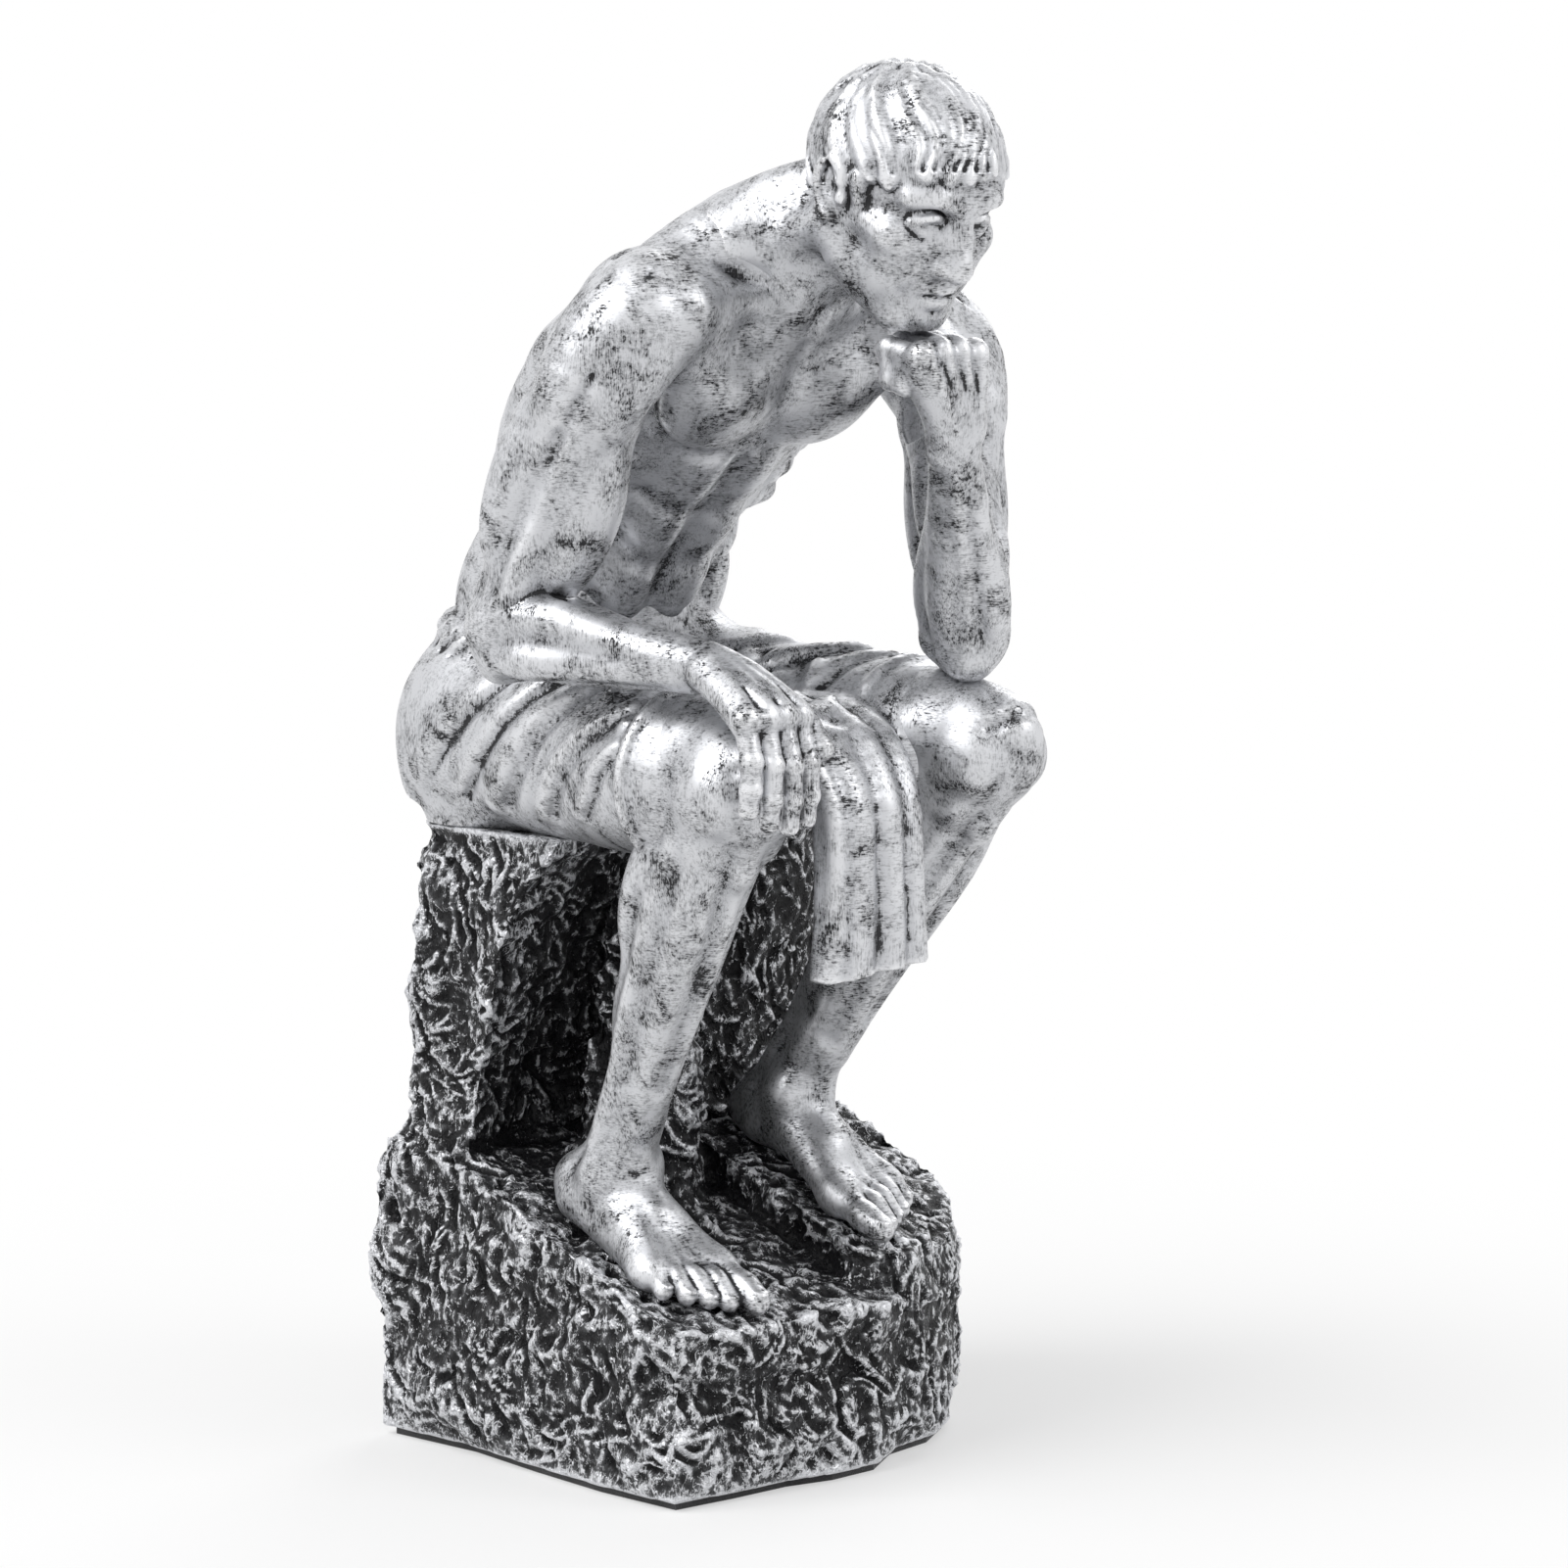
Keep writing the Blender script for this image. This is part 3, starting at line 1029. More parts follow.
def hip_fold_forms():
    """Folds that fall round the hips and the back."""
    forms = []
    for index in range(14):
        angle = math.radians(-72 + 25 * index + 5 * math.sin(index * 2.1))
        edge = to_left * (31.0 * math.cos(angle)) + vec(0, 20.6, 0) * math.sin(angle)
        drift = to_left * (3.5 * math.sin(index * 1.3))
        low_z = 120 + 4 * math.sin(index * 1.9)
        size = 1.7 + 0.4 * math.sin(index * 2.7)
        fold = [waist + edge * 0.90 + vec(0, 1, -5), vec(middle_x, 27.5, 134) + edge * 0.99 + drift,
                vec(middle_x, 28, low_z) + edge * 1.01 + drift * 2]
        forms.append(stroke(fold, 2.8, size))
        forms.append(stroke([point + to_left * 4.6 for point in fold[1:]], 2.2, -1.3))
    return forms


def waistband_forms():
    """A rolled waistband with slanting creases."""
    ahead = unit(np.cross(waist_normal, to_left))
    centre = waist + vec(0, 0.2, -1.5)
    across, deep = band_half
    ring = ring_points(centre, to_left * across, ahead * deep)
    forms = [limb([(point, band_edge) for point in ring], soft=1.4, steps=1)]
    creases = 30
    for k in range(creases):
        ends = []
        for turn, rise in ((0.0, -2.4), (0.20, 2.4)):
            a = 2 * math.pi * k / creases + turn
            edge = to_left * across * math.cos(a) + ahead * deep * math.sin(a)
            ends.append(centre + edge * 1.10 + waist_normal * rise)
        forms.append(stroke(ends, 1.1, -0.7))
    return forms


def fold_forms():
    """Folds, hems and the waistband of the cloth."""
    thighs = thigh_fold_forms("right") + thigh_fold_forms("left")
    return thighs + sag_forms() + apron_fold_forms() + hip_fold_forms() + waistband_forms()


# Hair: locks laid over a cap. A clump has rows of a share of its length and of its thickness.
cap_centre = (0.0, -2.6, 5.8)
cap_radii = (15.2, 18.0, 15.9)
crown_tilt = math.radians(20)
clump_rows = ((0, 0.45), (0.3, 0.85), (0.6, 1.0), (0.85, 0.95), (0.95, 0.75), (1.0, 0.35))
clumps = 27
strands = 70


def cap_point(around, down, lift):
    """A point over the cap: round from the front, down from the crown, and lifted off it."""
    sa, ca = math.sin(around), math.cos(around)
    sd, cd = math.sin(down), math.cos(down)
    st, ct = math.sin(crown_tilt), math.cos(crown_tilt)
    x, y, z = sa * sd, ca * sd, cd
    place = (x, y * ct - z * st, y * st + z * ct)
    rows = zip(cap_centre, place, cap_radii)
    return skull(*(middle + share * (radius + lift) for middle, share, radius in rows))


def hair_limit(around):
    """How far down from the crown the hair reaches, in degrees."""
    return 90 + 33 * ((1 - math.cos(around)) / 2) ** 1.4


def clump_forms():
    """Thick combed clumps from the crown, each ending in a point past the hairline."""
    forms = []
    for index in range(clumps):
        around = 2 * math.pi * (index + 0.25 * math.sin(index * 2.7)) / clumps - math.pi
        first = 12 + 16 * abs(math.sin(index * 1.7))
        tip = hair_limit(around) + 4 + 4 * math.sin(index * 2.3)
        thick = 3.0 + 0.5 * math.sin(index * 1.3)
        proud = 0.75 + 0.35 * math.sin(index * 2.9)
        path = []
        for share, radius_share in clump_rows:
            radius = thick * radius_share
            turn = around + 0.20 * math.sin(share * 3.2 + index * 0.5) - 0.10
            lift = proud + 0.9 * share**3 - radius
            path.append((cap_point(turn, math.radians(first + (tip - first) * share), lift), radius))
        forms.append(limb(path, soft=0.8))
    return forms


def strand_forms():
    """Fine strands combed over the clumps."""
    forms = []
    for index in range(strands):
        around = 2 * math.pi * (index + 0.3 * math.sin(index * 3.1)) / strands - math.pi
        reach = hair_limit(around)
        first = 20 + 34 * abs(math.sin(index * 1.3))
        path = []
        for step in range(6):
            share = step / 5
            turn = around + 0.18 * math.sin(share * 3.2 + index * 0.2) - 0.10
            path.append(cap_point(turn, math.radians(first + (reach - first) * share), 1.1))
        width, height = 0.50 + 0.15 * abs(math.sin(index * 2.2)), -0.65 - 0.3 * math.sin(index * 1.9)
        forms.append(stroke(path, width, height))
    return forms


def hair_forms():
    """A close cap of hair in broad combed locks, with a ragged fringe."""
    line = skull(0, 13.0, 10.6)
    line_normal = unit(head_front * 0.625 - head_up * 0.78)
    cap = ellipsoid(skull(*cap_centre), cap_radii, head_axes)

    def distance(x, y, z):
        return np.maximum(cap.distance(x, y, z), offset(x, y, z, line, line_normal))

    forms = [Form(cap.low, cap.high, distance, "add", 0.8)] + clump_forms() + strand_forms()
    for s in (RIGHT, LEFT):
        side = Placed(skull, head_axes, s)
        forms.append(side.rod(1.0, (14.4, 2.2, 4.0, 1.7), (13.4, 2.8, 0.0, 1.3), (12.6, 2.6, -2.6, 0.7)))
    return forms


# Rock
base_half = (50.0, 46.0)
felt_top = 1.5
footprint_shares = (
    (-0.97, -0.94), (-0.44, -1.00), (0.02, -0.97), (0.50, -0.76), (0.90, -0.42), (1.00, 0.02),
    (0.94, 0.62), (0.80, 0.94), (0.20, 1.00), (-0.48, 0.95), (-0.97, 0.92), (-1.00, -0.05),
)
core_levels = ((0.84, 26.0), (0.90, 5.5))
pin_places = (
    (sole["right"] - sole_up * 8, sole["right"] - sole_up * 2.2, 2.2),
    (sole["left"] - sole_up * 8, sole["left"] - sole_up * 2.2, 2.2),
    (vec(middle_x - 16, 28, 105), vec(middle_x - 16, 28, 112.5), 3.2),
    (vec(middle_x + 16, 28, 105), vec(middle_x + 16, 28, 112.5), 3.2),
)


def prism(corners, low_z, high_z):
    """An upright block with a convex outline."""
    corners = np.array(corners)
    edges = []
    for a, b in zip(corners, np.roll(corners, -1, axis=0)):
        normal = unit(np.array([b[1] - a[1], a[0] - b[0]]))
        normal = normal if normal.dot(a + b) > 0 else -normal
        edges.append((normal, normal.dot(a)))

    def distance(x, y, z):
        best = np.maximum(low_z - z, z - high_z)
        for normal, reach in edges:
            best = np.maximum(best, x * normal[0] + y * normal[1] - reach)
        return best

    low, high = corners.min(axis=0), corners.max(axis=0)
    return Form(vec(*low, low_z), vec(*high, high_z), distance, "add", 0.0)


def rock_forms():
    """The rock's solid with its hollow and pin holes filled."""
    forms = [Solid("rock_base")]
    for scale, height in core_levels:
        forms.append(prism(np.array(footprint_shares) * base_half * scale, felt_top, height))
    for start, end, radius in pin_places:
        forms.append(limb([(start, radius), (end, radius)], soft=0))
    return forms


def hash_unit(ix, iy, iz, seed):
    """A repeatable value from -1 to 1 for each whole-number place."""
    h = ix * 374761393 + iy * 668265263 + iz * 2147483647 + seed * 1274126177
    h = (h ^ (h >> 13)) * 1103515245 & 0xFFFFFFFF
    h = (h ^ (h >> 16)) * 2246822519 & 0xFFFFFFFF
    return ((h ^ (h >> 15)) & 0xFFFF) / 32767.5 - 1.0


def noise(points, cell, seed):
    """Smooth noise from -1 to 1 at each point, with lumps about a cell wide."""
    place = points / cell + 100.0
    base = np.floor(place).astype(np.int64)
    share = place - base
    ease = share * share * share * (share * (share * 6 - 15) + 10)
    total = np.zeros(len(points))
    for dx in (0, 1):
        for dy in (0, 1):
            for dz in (0, 1):
                corner = (base[:, 0] + dx, base[:, 1] + dy, base[:, 2] + dz)
                slope = (
                    hash_unit(*corner, seed) * (share[:, 0] - dx)
                    + hash_unit(*corner, seed + 7) * (share[:, 1] - dy)
                    + hash_unit(*corner, seed + 13) * (share[:, 2] - dz)
                )
                weight = (
                    (ease[:, 0] if dx else 1 - ease[:, 0]) * (ease[:, 1] if dy else 1 - ease[:, 1])
                    * (ease[:, 2] if dz else 1 - ease[:, 2])
                )
                total += slope * weight
    return total * 1.5


def ridged(points, cell, seed):
    """Sharp ridges about a cell apart, from -1 in the valleys to 1 on the ridges."""
    return 1 - 2 * np.minimum(np.abs(noise(points, cell, seed)) * 1.8, 1)


def boxed_in(block, points, reach):
    """The share of rock in a box round each point, with a half width in mm: more in corners."""
    share = (block.field < 0).astype(np.float32)
    window = int(reach / block.size)
    for axis in range(3):
        share = np.moveaxis(share, axis, 0)
        total = np.concatenate([np.zeros_like(share[:1]), np.cumsum(share, axis=0)])
        count = len(share)
        first = np.maximum(np.arange(count) - window, 0)
        last = np.minimum(np.arange(count) + window + 1, count)
        share = np.moveaxis((total[last] - total[first]) / (2 * window + 1), 0, axis)
    place = np.rint((points - block.low) / block.size).astype(int)
    return share[place[:, 0], place[:, 1], place[:, 2]]


def roughen_rock(points, quads):
    """Breaks the rock's skin into crags, leaf-shaped hollows, wrinkles and short ridges."""
    normal = point_normals(points, quads)
    warp = np.stack([noise(points, 9.0, seed) for seed in (1, 2, 3)], axis=1)
    bent = points + warp * 3.0
    turned = np.stack(
        [bent[:, 0] * 0.8 + bent[:, 2] * 0.4, bent[:, 1] * 0.8 - bent[:, 2] * 0.35, bent[:, 2] * 0.8], axis=1
    )
    hollows = np.clip((noise(turned * (1.4, 1.4, 0.55), 5.5, 21) - 0.20) / 0.25, 0, 1)
    hollows = hollows * np.clip(0.7 + 2.0 * noise(points, 15.0, 22), 0, 1)
    upright = ridged(bent * (1, 1, 0.30), 2.7, 8)
    slanted = ridged(turned * (0.45, 0.45, 1.2) + warp, 2.7, 9)
    region = np.clip(0.5 + 2.2 * noise(points, 17.0, 23), 0, 1)
    broken = np.clip(0.55 + 1.6 * noise(points, 4.5, 24), 0, 1)
    push = (
        0.8 * noise(points, 24.0, 4) + 0.65 * ridged(bent, 15.0, 5) + 0.34 * ridged(turned, 6.0, 6)
        + 0.70 * broken * (upright * region + slanted * (1 - region)) + 0.34 * noise(points, 1.7, 11)
        - 1.2 * hollows
    )
    low, high = box_mm("rock_base")
    edge = np.clip((points[:, 2] - felt_top) / 3.0, 0, 1)
    top = np.clip((seat_z - points[:, 2]) / 3.0, 0.15, 1)
    moved = points + normal * ((push - 0.7) * edge * top)[:, None]
    return np.clip(moved, low, high)


# Pieces: where the rock parts, and how far round a point its hollows and its shelter are measured, in mm
rock_parting = 54.0
fine_reach, broad_reach, shelter_reach = 0.9, 3.0, 18.0


def relief(block, points, quads):
    """How hollow the skin is at each point, in its fine and its broad relief."""
    return {
        "fine": hollowness(points, quads, block.size, fine_reach),
        "broad": hollowness(points, quads, block.size, broad_reach),
    }


def dress(node, groups, material, slot):
    """Carves one piece and makes its mesh."""
    block, points, quads = carve(node, groups)
    values = relief(block, points, quads)
    piece = add_mesh(node + "_skin", node, points, quads, values, material)


def dress_rock(material):
    """The rock, roughened as a whole and then parted into its plinth and its seat block."""
    node = "rock_base"
    block, points, quads = carve(node, [rock_forms()])
    sheltered = boxed_in(block, points, shelter_reach)
    points = roughen_rock(points, quads)
    values = relief(block, points, quads)
    values["deep"] = sheltered
    upper = points[quads][:, :, 2].mean(axis=1) > rock_parting
    for name, chosen in (("rock_plinth", ~upper), ("rock_seat", upper)):
        used, own = np.unique(quads[chosen].ravel(), return_inverse=True)
        own_values = {key: value[used] for key, value in values.items()}
        piece = add_mesh(name, node, points[used], own.reshape(-1, 4), own_values, material)


# Materials: each is built from small node makers, in mm along the object's own axes
class Nodes:
    """The node tree of a material, with short calls for what the materials share."""

    def __init__(self, name):
        self.material = bpy.data.materials.new(name)
        self.material.use_nodes = True
        self.tree = self.material.node_tree
        self.shader = self.tree.nodes["Principled BSDF"]
        place = self.tree.nodes.new("ShaderNodeTexCoord").outputs["Object"]
        self.place = self.vector("SCALE", place, scale=1 / MM)

    def put(self, socket, value):
        """Links a socket, or sets it where the value is plain."""
        if hasattr(value, "is_linked"):
            self.tree.links.new(value, socket)
        else:
            socket.default_value = value

    def vector(self, operation, a, b=None, scale=None):
        """The result of an operation on vectors."""
        node = self.tree.nodes.new("ShaderNodeVectorMath")
        node.operation = operation
        self.put(node.inputs[0], a)
        if b is not None:
            self.put(node.inputs[1], b)
        if scale is not None:
            node.inputs["Scale"].default_value = scale
        return node.outputs["Vector"]

    def math(self, operation, a, b=0.0):
        """The result of an operation on two values."""
        node = self.tree.nodes.new("ShaderNodeMath")
        node.operation = operation
        self.put(node.inputs[0], a)
        self.put(node.inputs[1], b)
        return node.outputs[0]

    def total(self, *terms):
        """The sum of values, each times its factor."""
        out = None
        for value, factor in terms:
            scaled = self.math("MULTIPLY", value, factor)
            out = scaled if out is None else self.math("ADD", out, scaled)
        return out

    def ramp(self, value, low, high, to_low=0.0, to_high=1.0):
        """The value between two levels, eased and mapped to two others."""
        node = self.tree.nodes.new("ShaderNodeMapRange")
        node.interpolation_type = "SMOOTHSTEP"
        self.put(node.inputs["Value"], value)
        node.inputs["From Min"].default_value = low
        node.inputs["From Max"].default_value = high
        node.inputs["To Min"].default_value = to_low
        node.inputs["To Max"].default_value = to_high
        return node.outputs["Result"]

    def noise(self, size, detail=4.0, roughness=0.55, distortion=0.0, stretch=None):
        """Noise whose lumps are about a size in mm, stretched along the axes as asked."""
        place = self.place
        if stretch is not None:
            place = self.vector("MULTIPLY", place, [1 / s for s in stretch])
        node = self.tree.nodes.new("ShaderNodeTexNoise")
        node.normalize = True
        self.put(node.inputs["Vector"], place)
        node.inputs["Scale"].default_value = 1 / size
        node.inputs["Detail"].default_value = detail
        node.inputs["Roughness"].default_value = roughness
        node.inputs["Distortion"].default_value = distortion
        return node.outputs[0]

    def ridges(self, size, width, distortion=0.4, stretch=None):
        """Thin winding ridges about a size apart, broken up along their length."""
        wave = self.noise(size, detail=2.5, roughness=0.5, distortion=distortion, stretch=stretch)
        away = self.math("ABSOLUTE", self.math("SUBTRACT", wave, 0.5))
        line = self.ramp(away, width, 0.0)
        broken = self.ramp(self.noise(size * 1.3, detail=2), 0.38, 0.56)
        return self.math("MULTIPLY", line, broken)

    def blend(self, share, a, b):
        """A value between two."""
        node = self.tree.nodes.new("ShaderNodeMix")
        for name, value in (("Factor", share), ("A", a), ("B", b)):
            self.put(node.inputs[name], value)
        return node.outputs[0]

    def height(self):
        """How high a point is, in mm."""
        node = self.tree.nodes.new("ShaderNodeSeparateXYZ")
        self.put(node.inputs[0], self.place)
        return node.outputs["Z"]

    def attribute(self, name):
        """A value stored with the mesh."""
        node = self.tree.nodes.new("ShaderNodeAttribute")
        node.attribute_name = name
        return node.outputs["Fac"]

    def mix(self, share, a, b):
        """A colour between two."""
        node = self.tree.nodes.new("ShaderNodeMix")
        node.data_type = "RGBA"
        self.put(node.inputs["Factor"], share)
        for socket, colour in ((node.inputs[6], a), (node.inputs[7], b)):
            self.put(socket, colour if hasattr(colour, "is_linked") else (*colour, 1))
        return node.outputs[2]

    def finish(self, colour, roughness, height, strength, depth, metallic=0.0):
        """Links the surface: colour, roughness, metal and a bump of a depth in mm."""
        self.put(self.shader.inputs["Base Color"], colour)
        self.put(self.shader.inputs["Roughness"], roughness)
        self.put(self.shader.inputs["Metallic"], metallic)
        bump = self.tree.nodes.new("ShaderNodeBump")
        bump.inputs["Strength"].default_value = strength
        bump.inputs["Distance"].default_value = depth * MM
        self.put(bump.inputs["Height"], height)
        self.tree.links.new(bump.outputs["Normal"], self.shader.inputs["Normal"])
        return self.material


def silver_paint():
    """Antique silver: brushed bright paint, worn off in specks and streaks, with a black wash."""
    n = Nodes("antique_silver")
    fine = n.attribute("fine")
    broad = n.attribute("broad")
    speck = n.noise(0.8, detail=6, roughness=0.66, distortion=0.5)
    upright = n.noise(0.24, detail=3, roughness=0.6, distortion=0.3, stretch=(1, 1, 9))
    level = n.noise(0.24, detail=3, roughness=0.6, distortion=0.3, stretch=(8, 4, 1))
    region = n.ramp(n.noise(13.0, detail=1), 0.44, 0.56)
    hair = n.blend(region, upright, level)
    cluster = n.noise(7.5, detail=4, roughness=0.6, distortion=0.8)
    hollow = n.total((n.ramp(fine, 0.0, 0.10), 0.20), (n.ramp(broad, 0.0, 0.70), 0.26))
    worn = n.total((speck, 0.42), (hair, 0.40), (cluster, 0.55), (hollow, 1.0))
    black = n.ramp(worn, 0.755, 0.81)
    haze = n.ramp(worn, 0.60, 0.88)
    crest = n.ramp(broad, 0.12, -0.50)
    clean = n.mix(crest, (0.57, 0.578, 0.602), (0.86, 0.866, 0.885))
    tone = n.mix(haze, clean, (0.085, 0.087, 0.094))
    colour = n.mix(black, tone, (0.008, 0.008, 0.010))
    roughness = n.total((n.ramp(hair, 0.3, 0.7, 0.36, 0.51), 1.0), (black, 0.16), (crest, -0.06))
    metallic = n.math("SUBTRACT", 0.82, n.math("MULTIPLY", black, 0.7))
    height = n.total((black, -0.6), (hair, 0.35), (speck, 0.45))
    return n.finish(colour, roughness, height, 0.55, 0.10, metallic)


def rock_paint():
    """Near-black rock whose wrinkles and ridges are picked out in silver with a dry brush."""
    n = Nodes("dark_rock")
    fine = n.attribute("fine")
    broad = n.attribute("broad")
    shelter = n.attribute("deep")
    deep = n.ramp(shelter, 0.52, 0.70)
    edge = n.ramp(shelter, 0.44, 0.26)
    low = n.ramp(n.height(), 66.0, 38.0)
    patch = n.noise(1.8, detail=6, roughness=0.70, distortion=0.9, stretch=(1.4, 1.4, 0.8))
    wrinkle = n.ridges(3.2, 0.040, stretch=(1, 1, 1.6))
    worm = n.ridges(1.7, 0.040, distortion=0.8)
    hatch = n.ridges(1.0, 0.045, stretch=(1.0, 1.0, 2.2))
    grit = n.noise(0.4, detail=4, roughness=0.7)
    hair = n.noise(0.22, detail=3, stretch=(1, 1, 7))
    cluster = n.noise(8.0, detail=4, roughness=0.6)
    high = n.ramp(broad, 0.55, -0.75)
    raised = n.total(
        (high, 0.55), (n.ramp(fine, 0.12, -0.18), 0.30), (cluster, 0.50), (hair, 0.35), (deep, -0.04),
        (edge, 0.14), (low, 0.06),
    )
    lines = n.total((wrinkle, 0.20), (worm, 0.14), (hatch, 0.18), (grit, 0.25), (patch, 0.70))
    open_share = n.math("SUBTRACT", 1.0, n.math("MULTIPLY", deep, 0.3))
    bright = n.math("MULTIPLY", n.ramp(n.total((raised, 0.60), (lines, 1.0)), 1.06, 1.22), open_share)
    haze = n.math("MULTIPLY", n.ramp(raised, 0.70, 1.25), open_share)
    base = n.mix(haze, (0.004, 0.004, 0.005), (0.15, 0.153, 0.16))
    colour = n.mix(bright, base, (0.74, 0.748, 0.775))
    n.shader.inputs["Specular IOR Level"].default_value = 0.25
    roughness = n.ramp(grit, 0.3, 0.7, 0.32, 0.52)
    height = n.total((wrinkle, 1.0), (worm, 0.8), (hatch, 0.5), (grit, 0.4))
    metal = n.math("MULTIPLY", n.math("MAXIMUM", bright, haze), 0.9)
    return n.finish(colour, roughness, height, 0.9, 0.40, metal)


def felt_cloth():
    """Black felt: matted fibres."""
    n = Nodes("black_felt")
    fibre = n.noise(0.35, detail=6, roughness=0.8, distortion=1.5)
    lump = n.noise(3.0, detail=3)
    colour = n.mix(n.ramp(fibre, 0.3, 0.7), (0.012, 0.012, 0.013), (0.04, 0.04, 0.042))
    n.shader.inputs["Sheen Weight"].default_value = 0.4
    n.shader.inputs["Sheen Roughness"].default_value = 0.6
    return n.finish(colour, n.ramp(lump, 0.3, 0.7, 0.86, 0.98), fibre, 0.6, 0.25)


def grained(name, grain, dark, light, roughness, strength, depth, metallic=0.0):
    """A plain material with one grain, in two colours and between two roughnesses."""
    n = Nodes(name)
    value = n.noise(**grain)
    colour = n.mix(n.ramp(value, 0.3, 0.7), dark, light)
    return n.finish(colour, n.ramp(value, 0.3, 0.7, *roughness), value, strength, depth, metallic)


def board_brown():
    """Pressed board: short fibres in brown."""
    grain = {"size": 0.8, "detail": 6, "roughness": 0.75, "stretch": (3, 1, 1)}
    return grained("pressed_board", grain, (0.16, 0.105, 0.06), (0.30, 0.21, 0.13), (0.65, 0.8), 0.4, 0.15)


def plaster_white():
    """Cast plaster with pores."""
    grain = {"size": 0.7, "detail": 6, "roughness": 0.7}
    return grained("cast_plaster", grain, (0.62, 0.60, 0.56), (0.80, 0.78, 0.74), (0.75, 0.92), 0.5, 0.2)


def pin_steel():
    """Drawn steel with fine rings."""
    grain = {"size": 0.3, "detail": 3, "stretch": (4, 4, 0.5)}
    return grained(
        "drawn_steel", grain, (0.50, 0.50, 0.51), (0.62, 0.62, 0.63), (0.22, 0.38), 0.3, 0.03, metallic=1.0
    )


silver = silver_paint()
stone = rock_paint()
plain_nodes = {"felt_sheet": felt_cloth(), "bottom_plate": board_brown(), "ballast_fill": plaster_white()}
steel = pin_steel()
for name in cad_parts:
    if name.endswith(("pin", "pins")):
        plain_nodes[name] = steel
for name, material in plain_nodes.items():
    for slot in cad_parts[name].material_slots:
        slot.material = material


def cut_below(height, centre, reach):
    """Cuts off what lies below a level, within a ball."""
    return half_space(vec(0, 0, height), vec(0, 0, -1), within=(centre, reach), action="cutaway")


# Neighbours are carved with each other's forms, so that the skin runs on over their seam
figure = (silver, "figure_resin")
body = trunk_forms() + neck_forms() + shoulder_forms("right") + shoulder_forms("left")
ends = [
    seam(waist, -waist_normal), seam(neck, neck_normal),
    seam(shoulder["right"], -to_left), seam(shoulder["left"], to_left),
]
dress("torso", [body + ends], *figure)
chin_seat = cut_below(chin_rest, skull(0, 12, -20), 12)
ends = [seam(neck, -neck_normal), chin_seat]
dress("head", [trunk_forms() + neck_forms() + face_forms() + hair_forms() + ends], *figure)
for side, hand_forms in (("right", right_hand_forms), ("left", left_hand_forms)):
    joint, out = shoulder[side], to_left * side_of[side]
    joined = body + arm_forms(side) + [seam(joint, -out)]
    own = shoulder_forms(side) + arm_forms(side) + hand_forms()
    dress(side + "_arm", [joined, own + [seam(joint, -out, within=(joint - out * 4, 22))]], *figure)
    dress(side + "_leg", [leg_forms(side) + foot_forms(side) + [half_space(sole[side], -sole_up)]], *figure)
seat_cut = cut_below(seat_z, vec(middle_x, 25, seat_z - 40), 62)
dress("lap_drape", [cloth_forms() + fold_forms() + [seat_cut]], *figure)
dress_rock(stone)

# Camera and lamps, placed in degrees round from the front and above level, and in metres from the aim
aim = Vector((-0.023, -0.044, 0.128))
camera_round, camera_rise, camera_distance = -42, 6.4, 0.978
camera_lens, camera_sensor, view_end = 127, 36, 50
lamps = (
    # name, round, rise, distance, size, power in watts
    ("key", -100, 48, 1.6, 1.2, 19),
    ("fill", 25, 35, 1.8, 0.9, 7),
    ("rim", 120, 30, 1.8, 0.9, 6),
)


def look(name, data, round_deg, rise_deg, distance):
    """Places a camera or a lamp so that it looks at the aim."""
    a, e = math.radians(round_deg), math.radians(rise_deg)
    back = Vector((math.sin(a) * math.cos(e), -math.cos(a) * math.cos(e), math.sin(e)))
    thing = bpy.data.objects.new(name, data)
    thing.location = aim + back * distance
    thing.rotation_euler = back.to_track_quat("Z", "Y").to_euler()
    bpy.context.scene.collection.objects.link(thing)
    return thing


camera_data = bpy.data.cameras.new("camera")
camera_data.lens = camera_lens
camera_data.sensor_width = camera_sensor
camera_data.clip_end = view_end
bpy.context.scene.camera = look("camera", camera_data, camera_round, camera_rise, camera_distance)

# Floor and background: white to the camera and in reflections, and a softer light for the rest. The
# floor keeps its own shading near the rock and fades to white away from it, over distances in metres.
floor_reach = 6.0
floor_fade = (0.06, 0.32, 0.45, 1.0)
world_strength = (0.0, 1.0, 0.42, 1.0)


def add_node(tree, kind, *links):
    """A shader node with its first sockets linked."""
    node = tree.nodes.new(kind)
    for socket, link in zip(node.inputs, links):
        tree.links.new(link, socket)
    return node


def math_node(tree, operation, *links):
    """The result of an operation on two values."""
    node = add_node(tree, "ShaderNodeMath", *links)
    node.operation = operation
    return node.outputs[0]


def map_range(tree, value, levels):
    """A value mapped from between two levels to between two others."""
    node = add_node(tree, "ShaderNodeMapRange", value)
    for key, level in zip(("From Min", "From Max", "To Min", "To Max"), levels):
        node.inputs[key].default_value = level
    return node


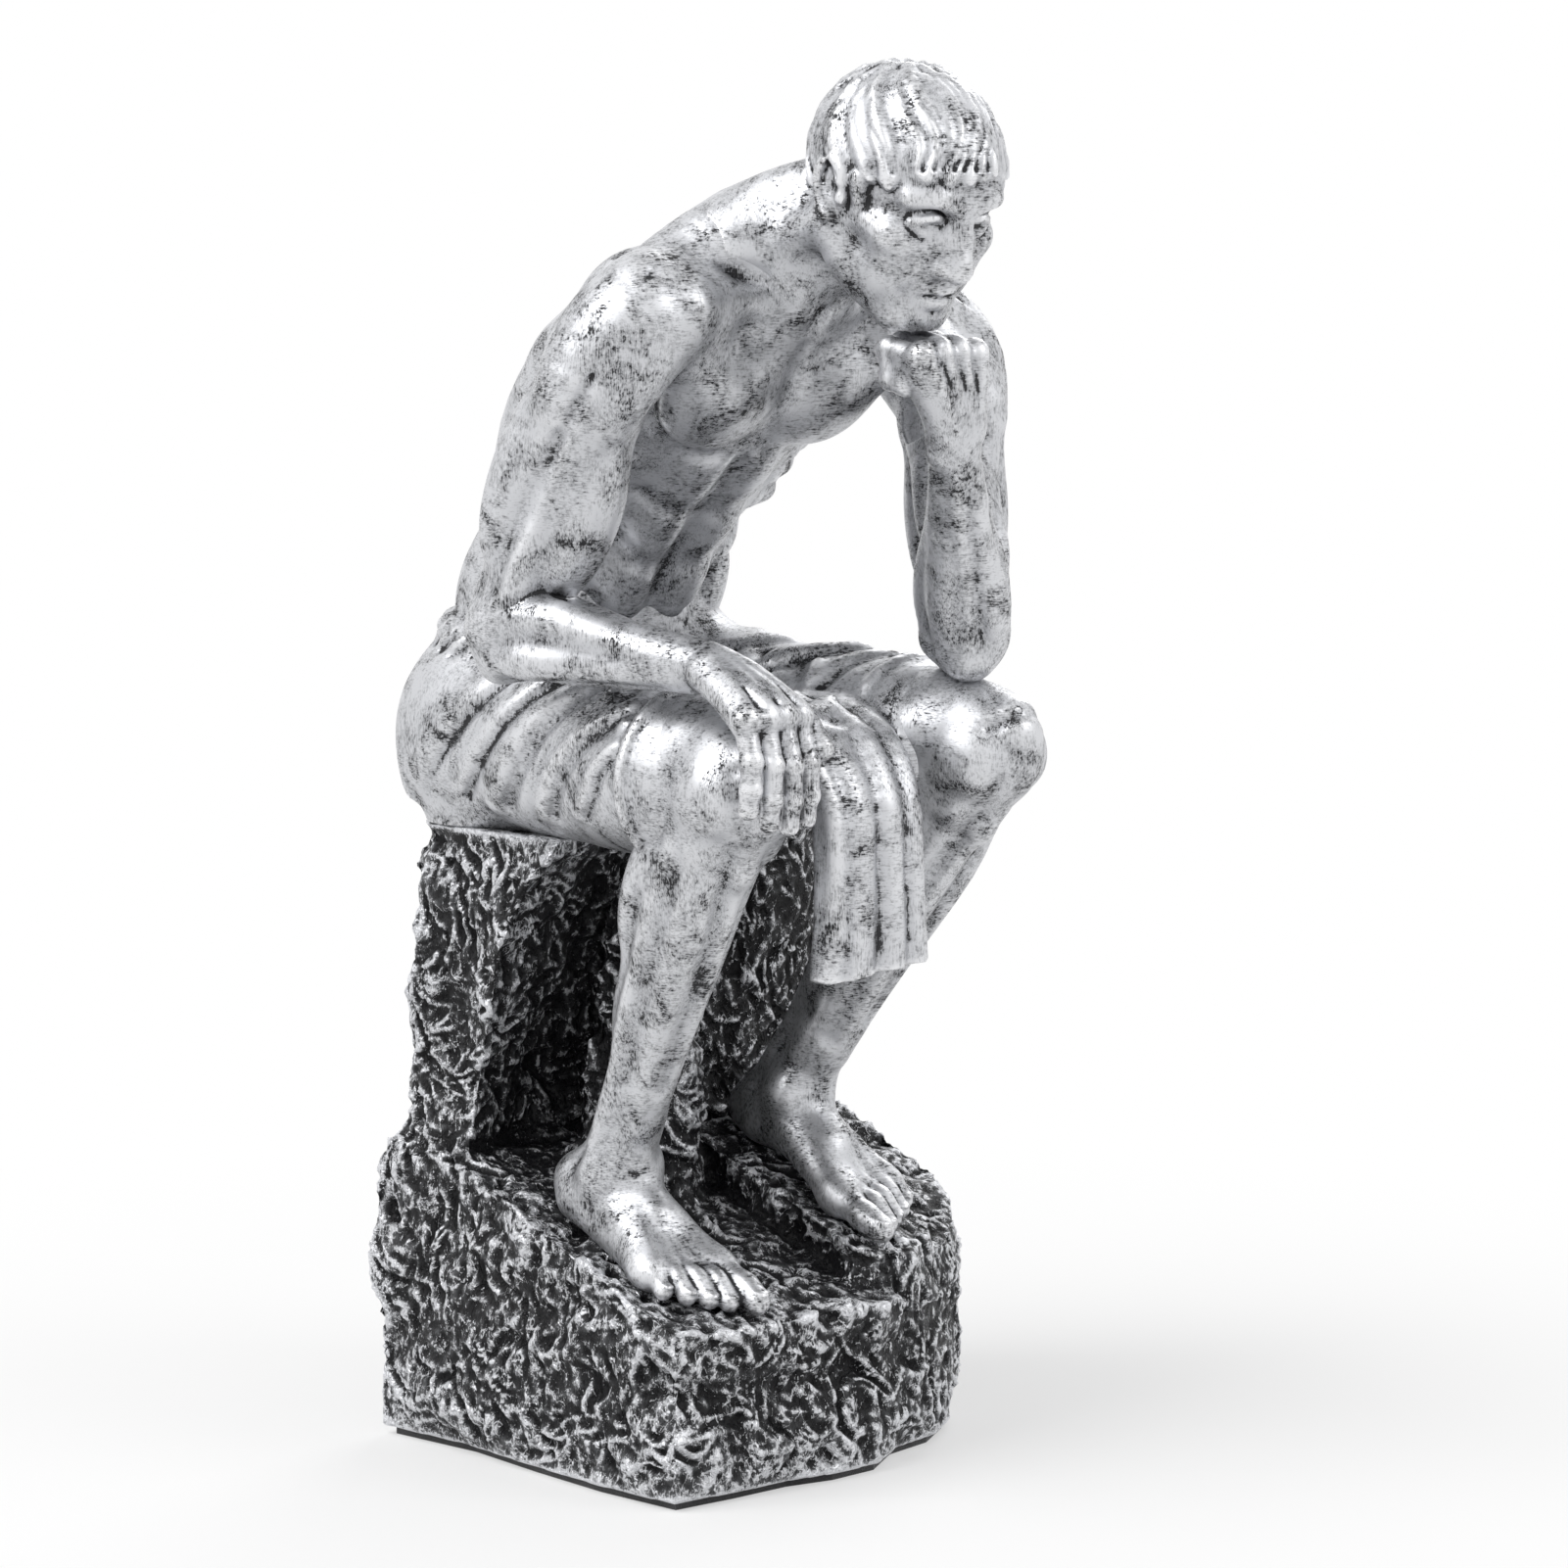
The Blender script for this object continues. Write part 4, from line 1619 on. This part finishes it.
def seen_share(tree):
    """1 for camera, glossy and transmission rays, and 0 for the rest."""
    path = tree.nodes.new("ShaderNodeLightPath")
    total = path.outputs["Is Camera Ray"]
    for name in ("Is Glossy Ray", "Is Transmission Ray"):
        total = math_node(tree, "MAXIMUM", total, path.outputs[name])
    return total


def floor_paint():
    """A pale floor that fades to white."""
    material = bpy.data.materials.new("floor_pale")
    material.use_nodes = True
    tree = material.node_tree
    shader = tree.nodes["Principled BSDF"]
    shader.inputs["Base Color"].default_value = (0.9, 0.9, 0.9, 1)
    shader.inputs["Roughness"].default_value = 0.9
    away = add_node(tree, "ShaderNodeVectorMath", tree.nodes.new("ShaderNodeTexCoord").outputs["Object"])
    away.operation = "LENGTH"
    fade = map_range(tree, away.outputs["Value"], floor_fade)
    fade.interpolation_type = "SMOOTHSTEP"
    share = math_node(tree, "MULTIPLY", fade.outputs["Result"], seen_share(tree))
    white = tree.nodes.new("ShaderNodeEmission")
    blend = add_node(tree, "ShaderNodeMixShader", share, shader.outputs[0], white.outputs[0])
    tree.links.new(blend.outputs[0], tree.nodes["Material Output"].inputs["Surface"])
    return material


floor_mesh = bpy.data.meshes.new("floor")
corners = [(x * floor_reach, y * floor_reach, 0) for x, y in ((-1, -1), (1, -1), (1, 1), (-1, 1))]
floor_mesh.from_pydata(corners, [], [(0, 1, 2, 3)])
floor_mesh.materials.append(floor_paint())
floor = bpy.data.objects.new("floor", floor_mesh)
bpy.context.scene.collection.objects.link(floor)

world = bpy.data.worlds.new("studio")
bpy.context.scene.world = world
world.use_nodes = True
background = world.node_tree.nodes["Background"]
background.inputs["Color"].default_value = (1, 1, 1, 1)
strength = map_range(world.node_tree, seen_share(world.node_tree), world_strength)
world.node_tree.links.new(strength.outputs["Result"], background.inputs["Strength"])

for name, round_deg, rise_deg, distance, size, power in lamps:
    lamp = bpy.data.lights.new(name, "AREA")
    lamp.shape = "SQUARE"
    lamp.size = size
    lamp.energy = power
    look(name, lamp, round_deg, rise_deg, distance)

bpy.context.scene.view_settings.view_transform = "Standard"
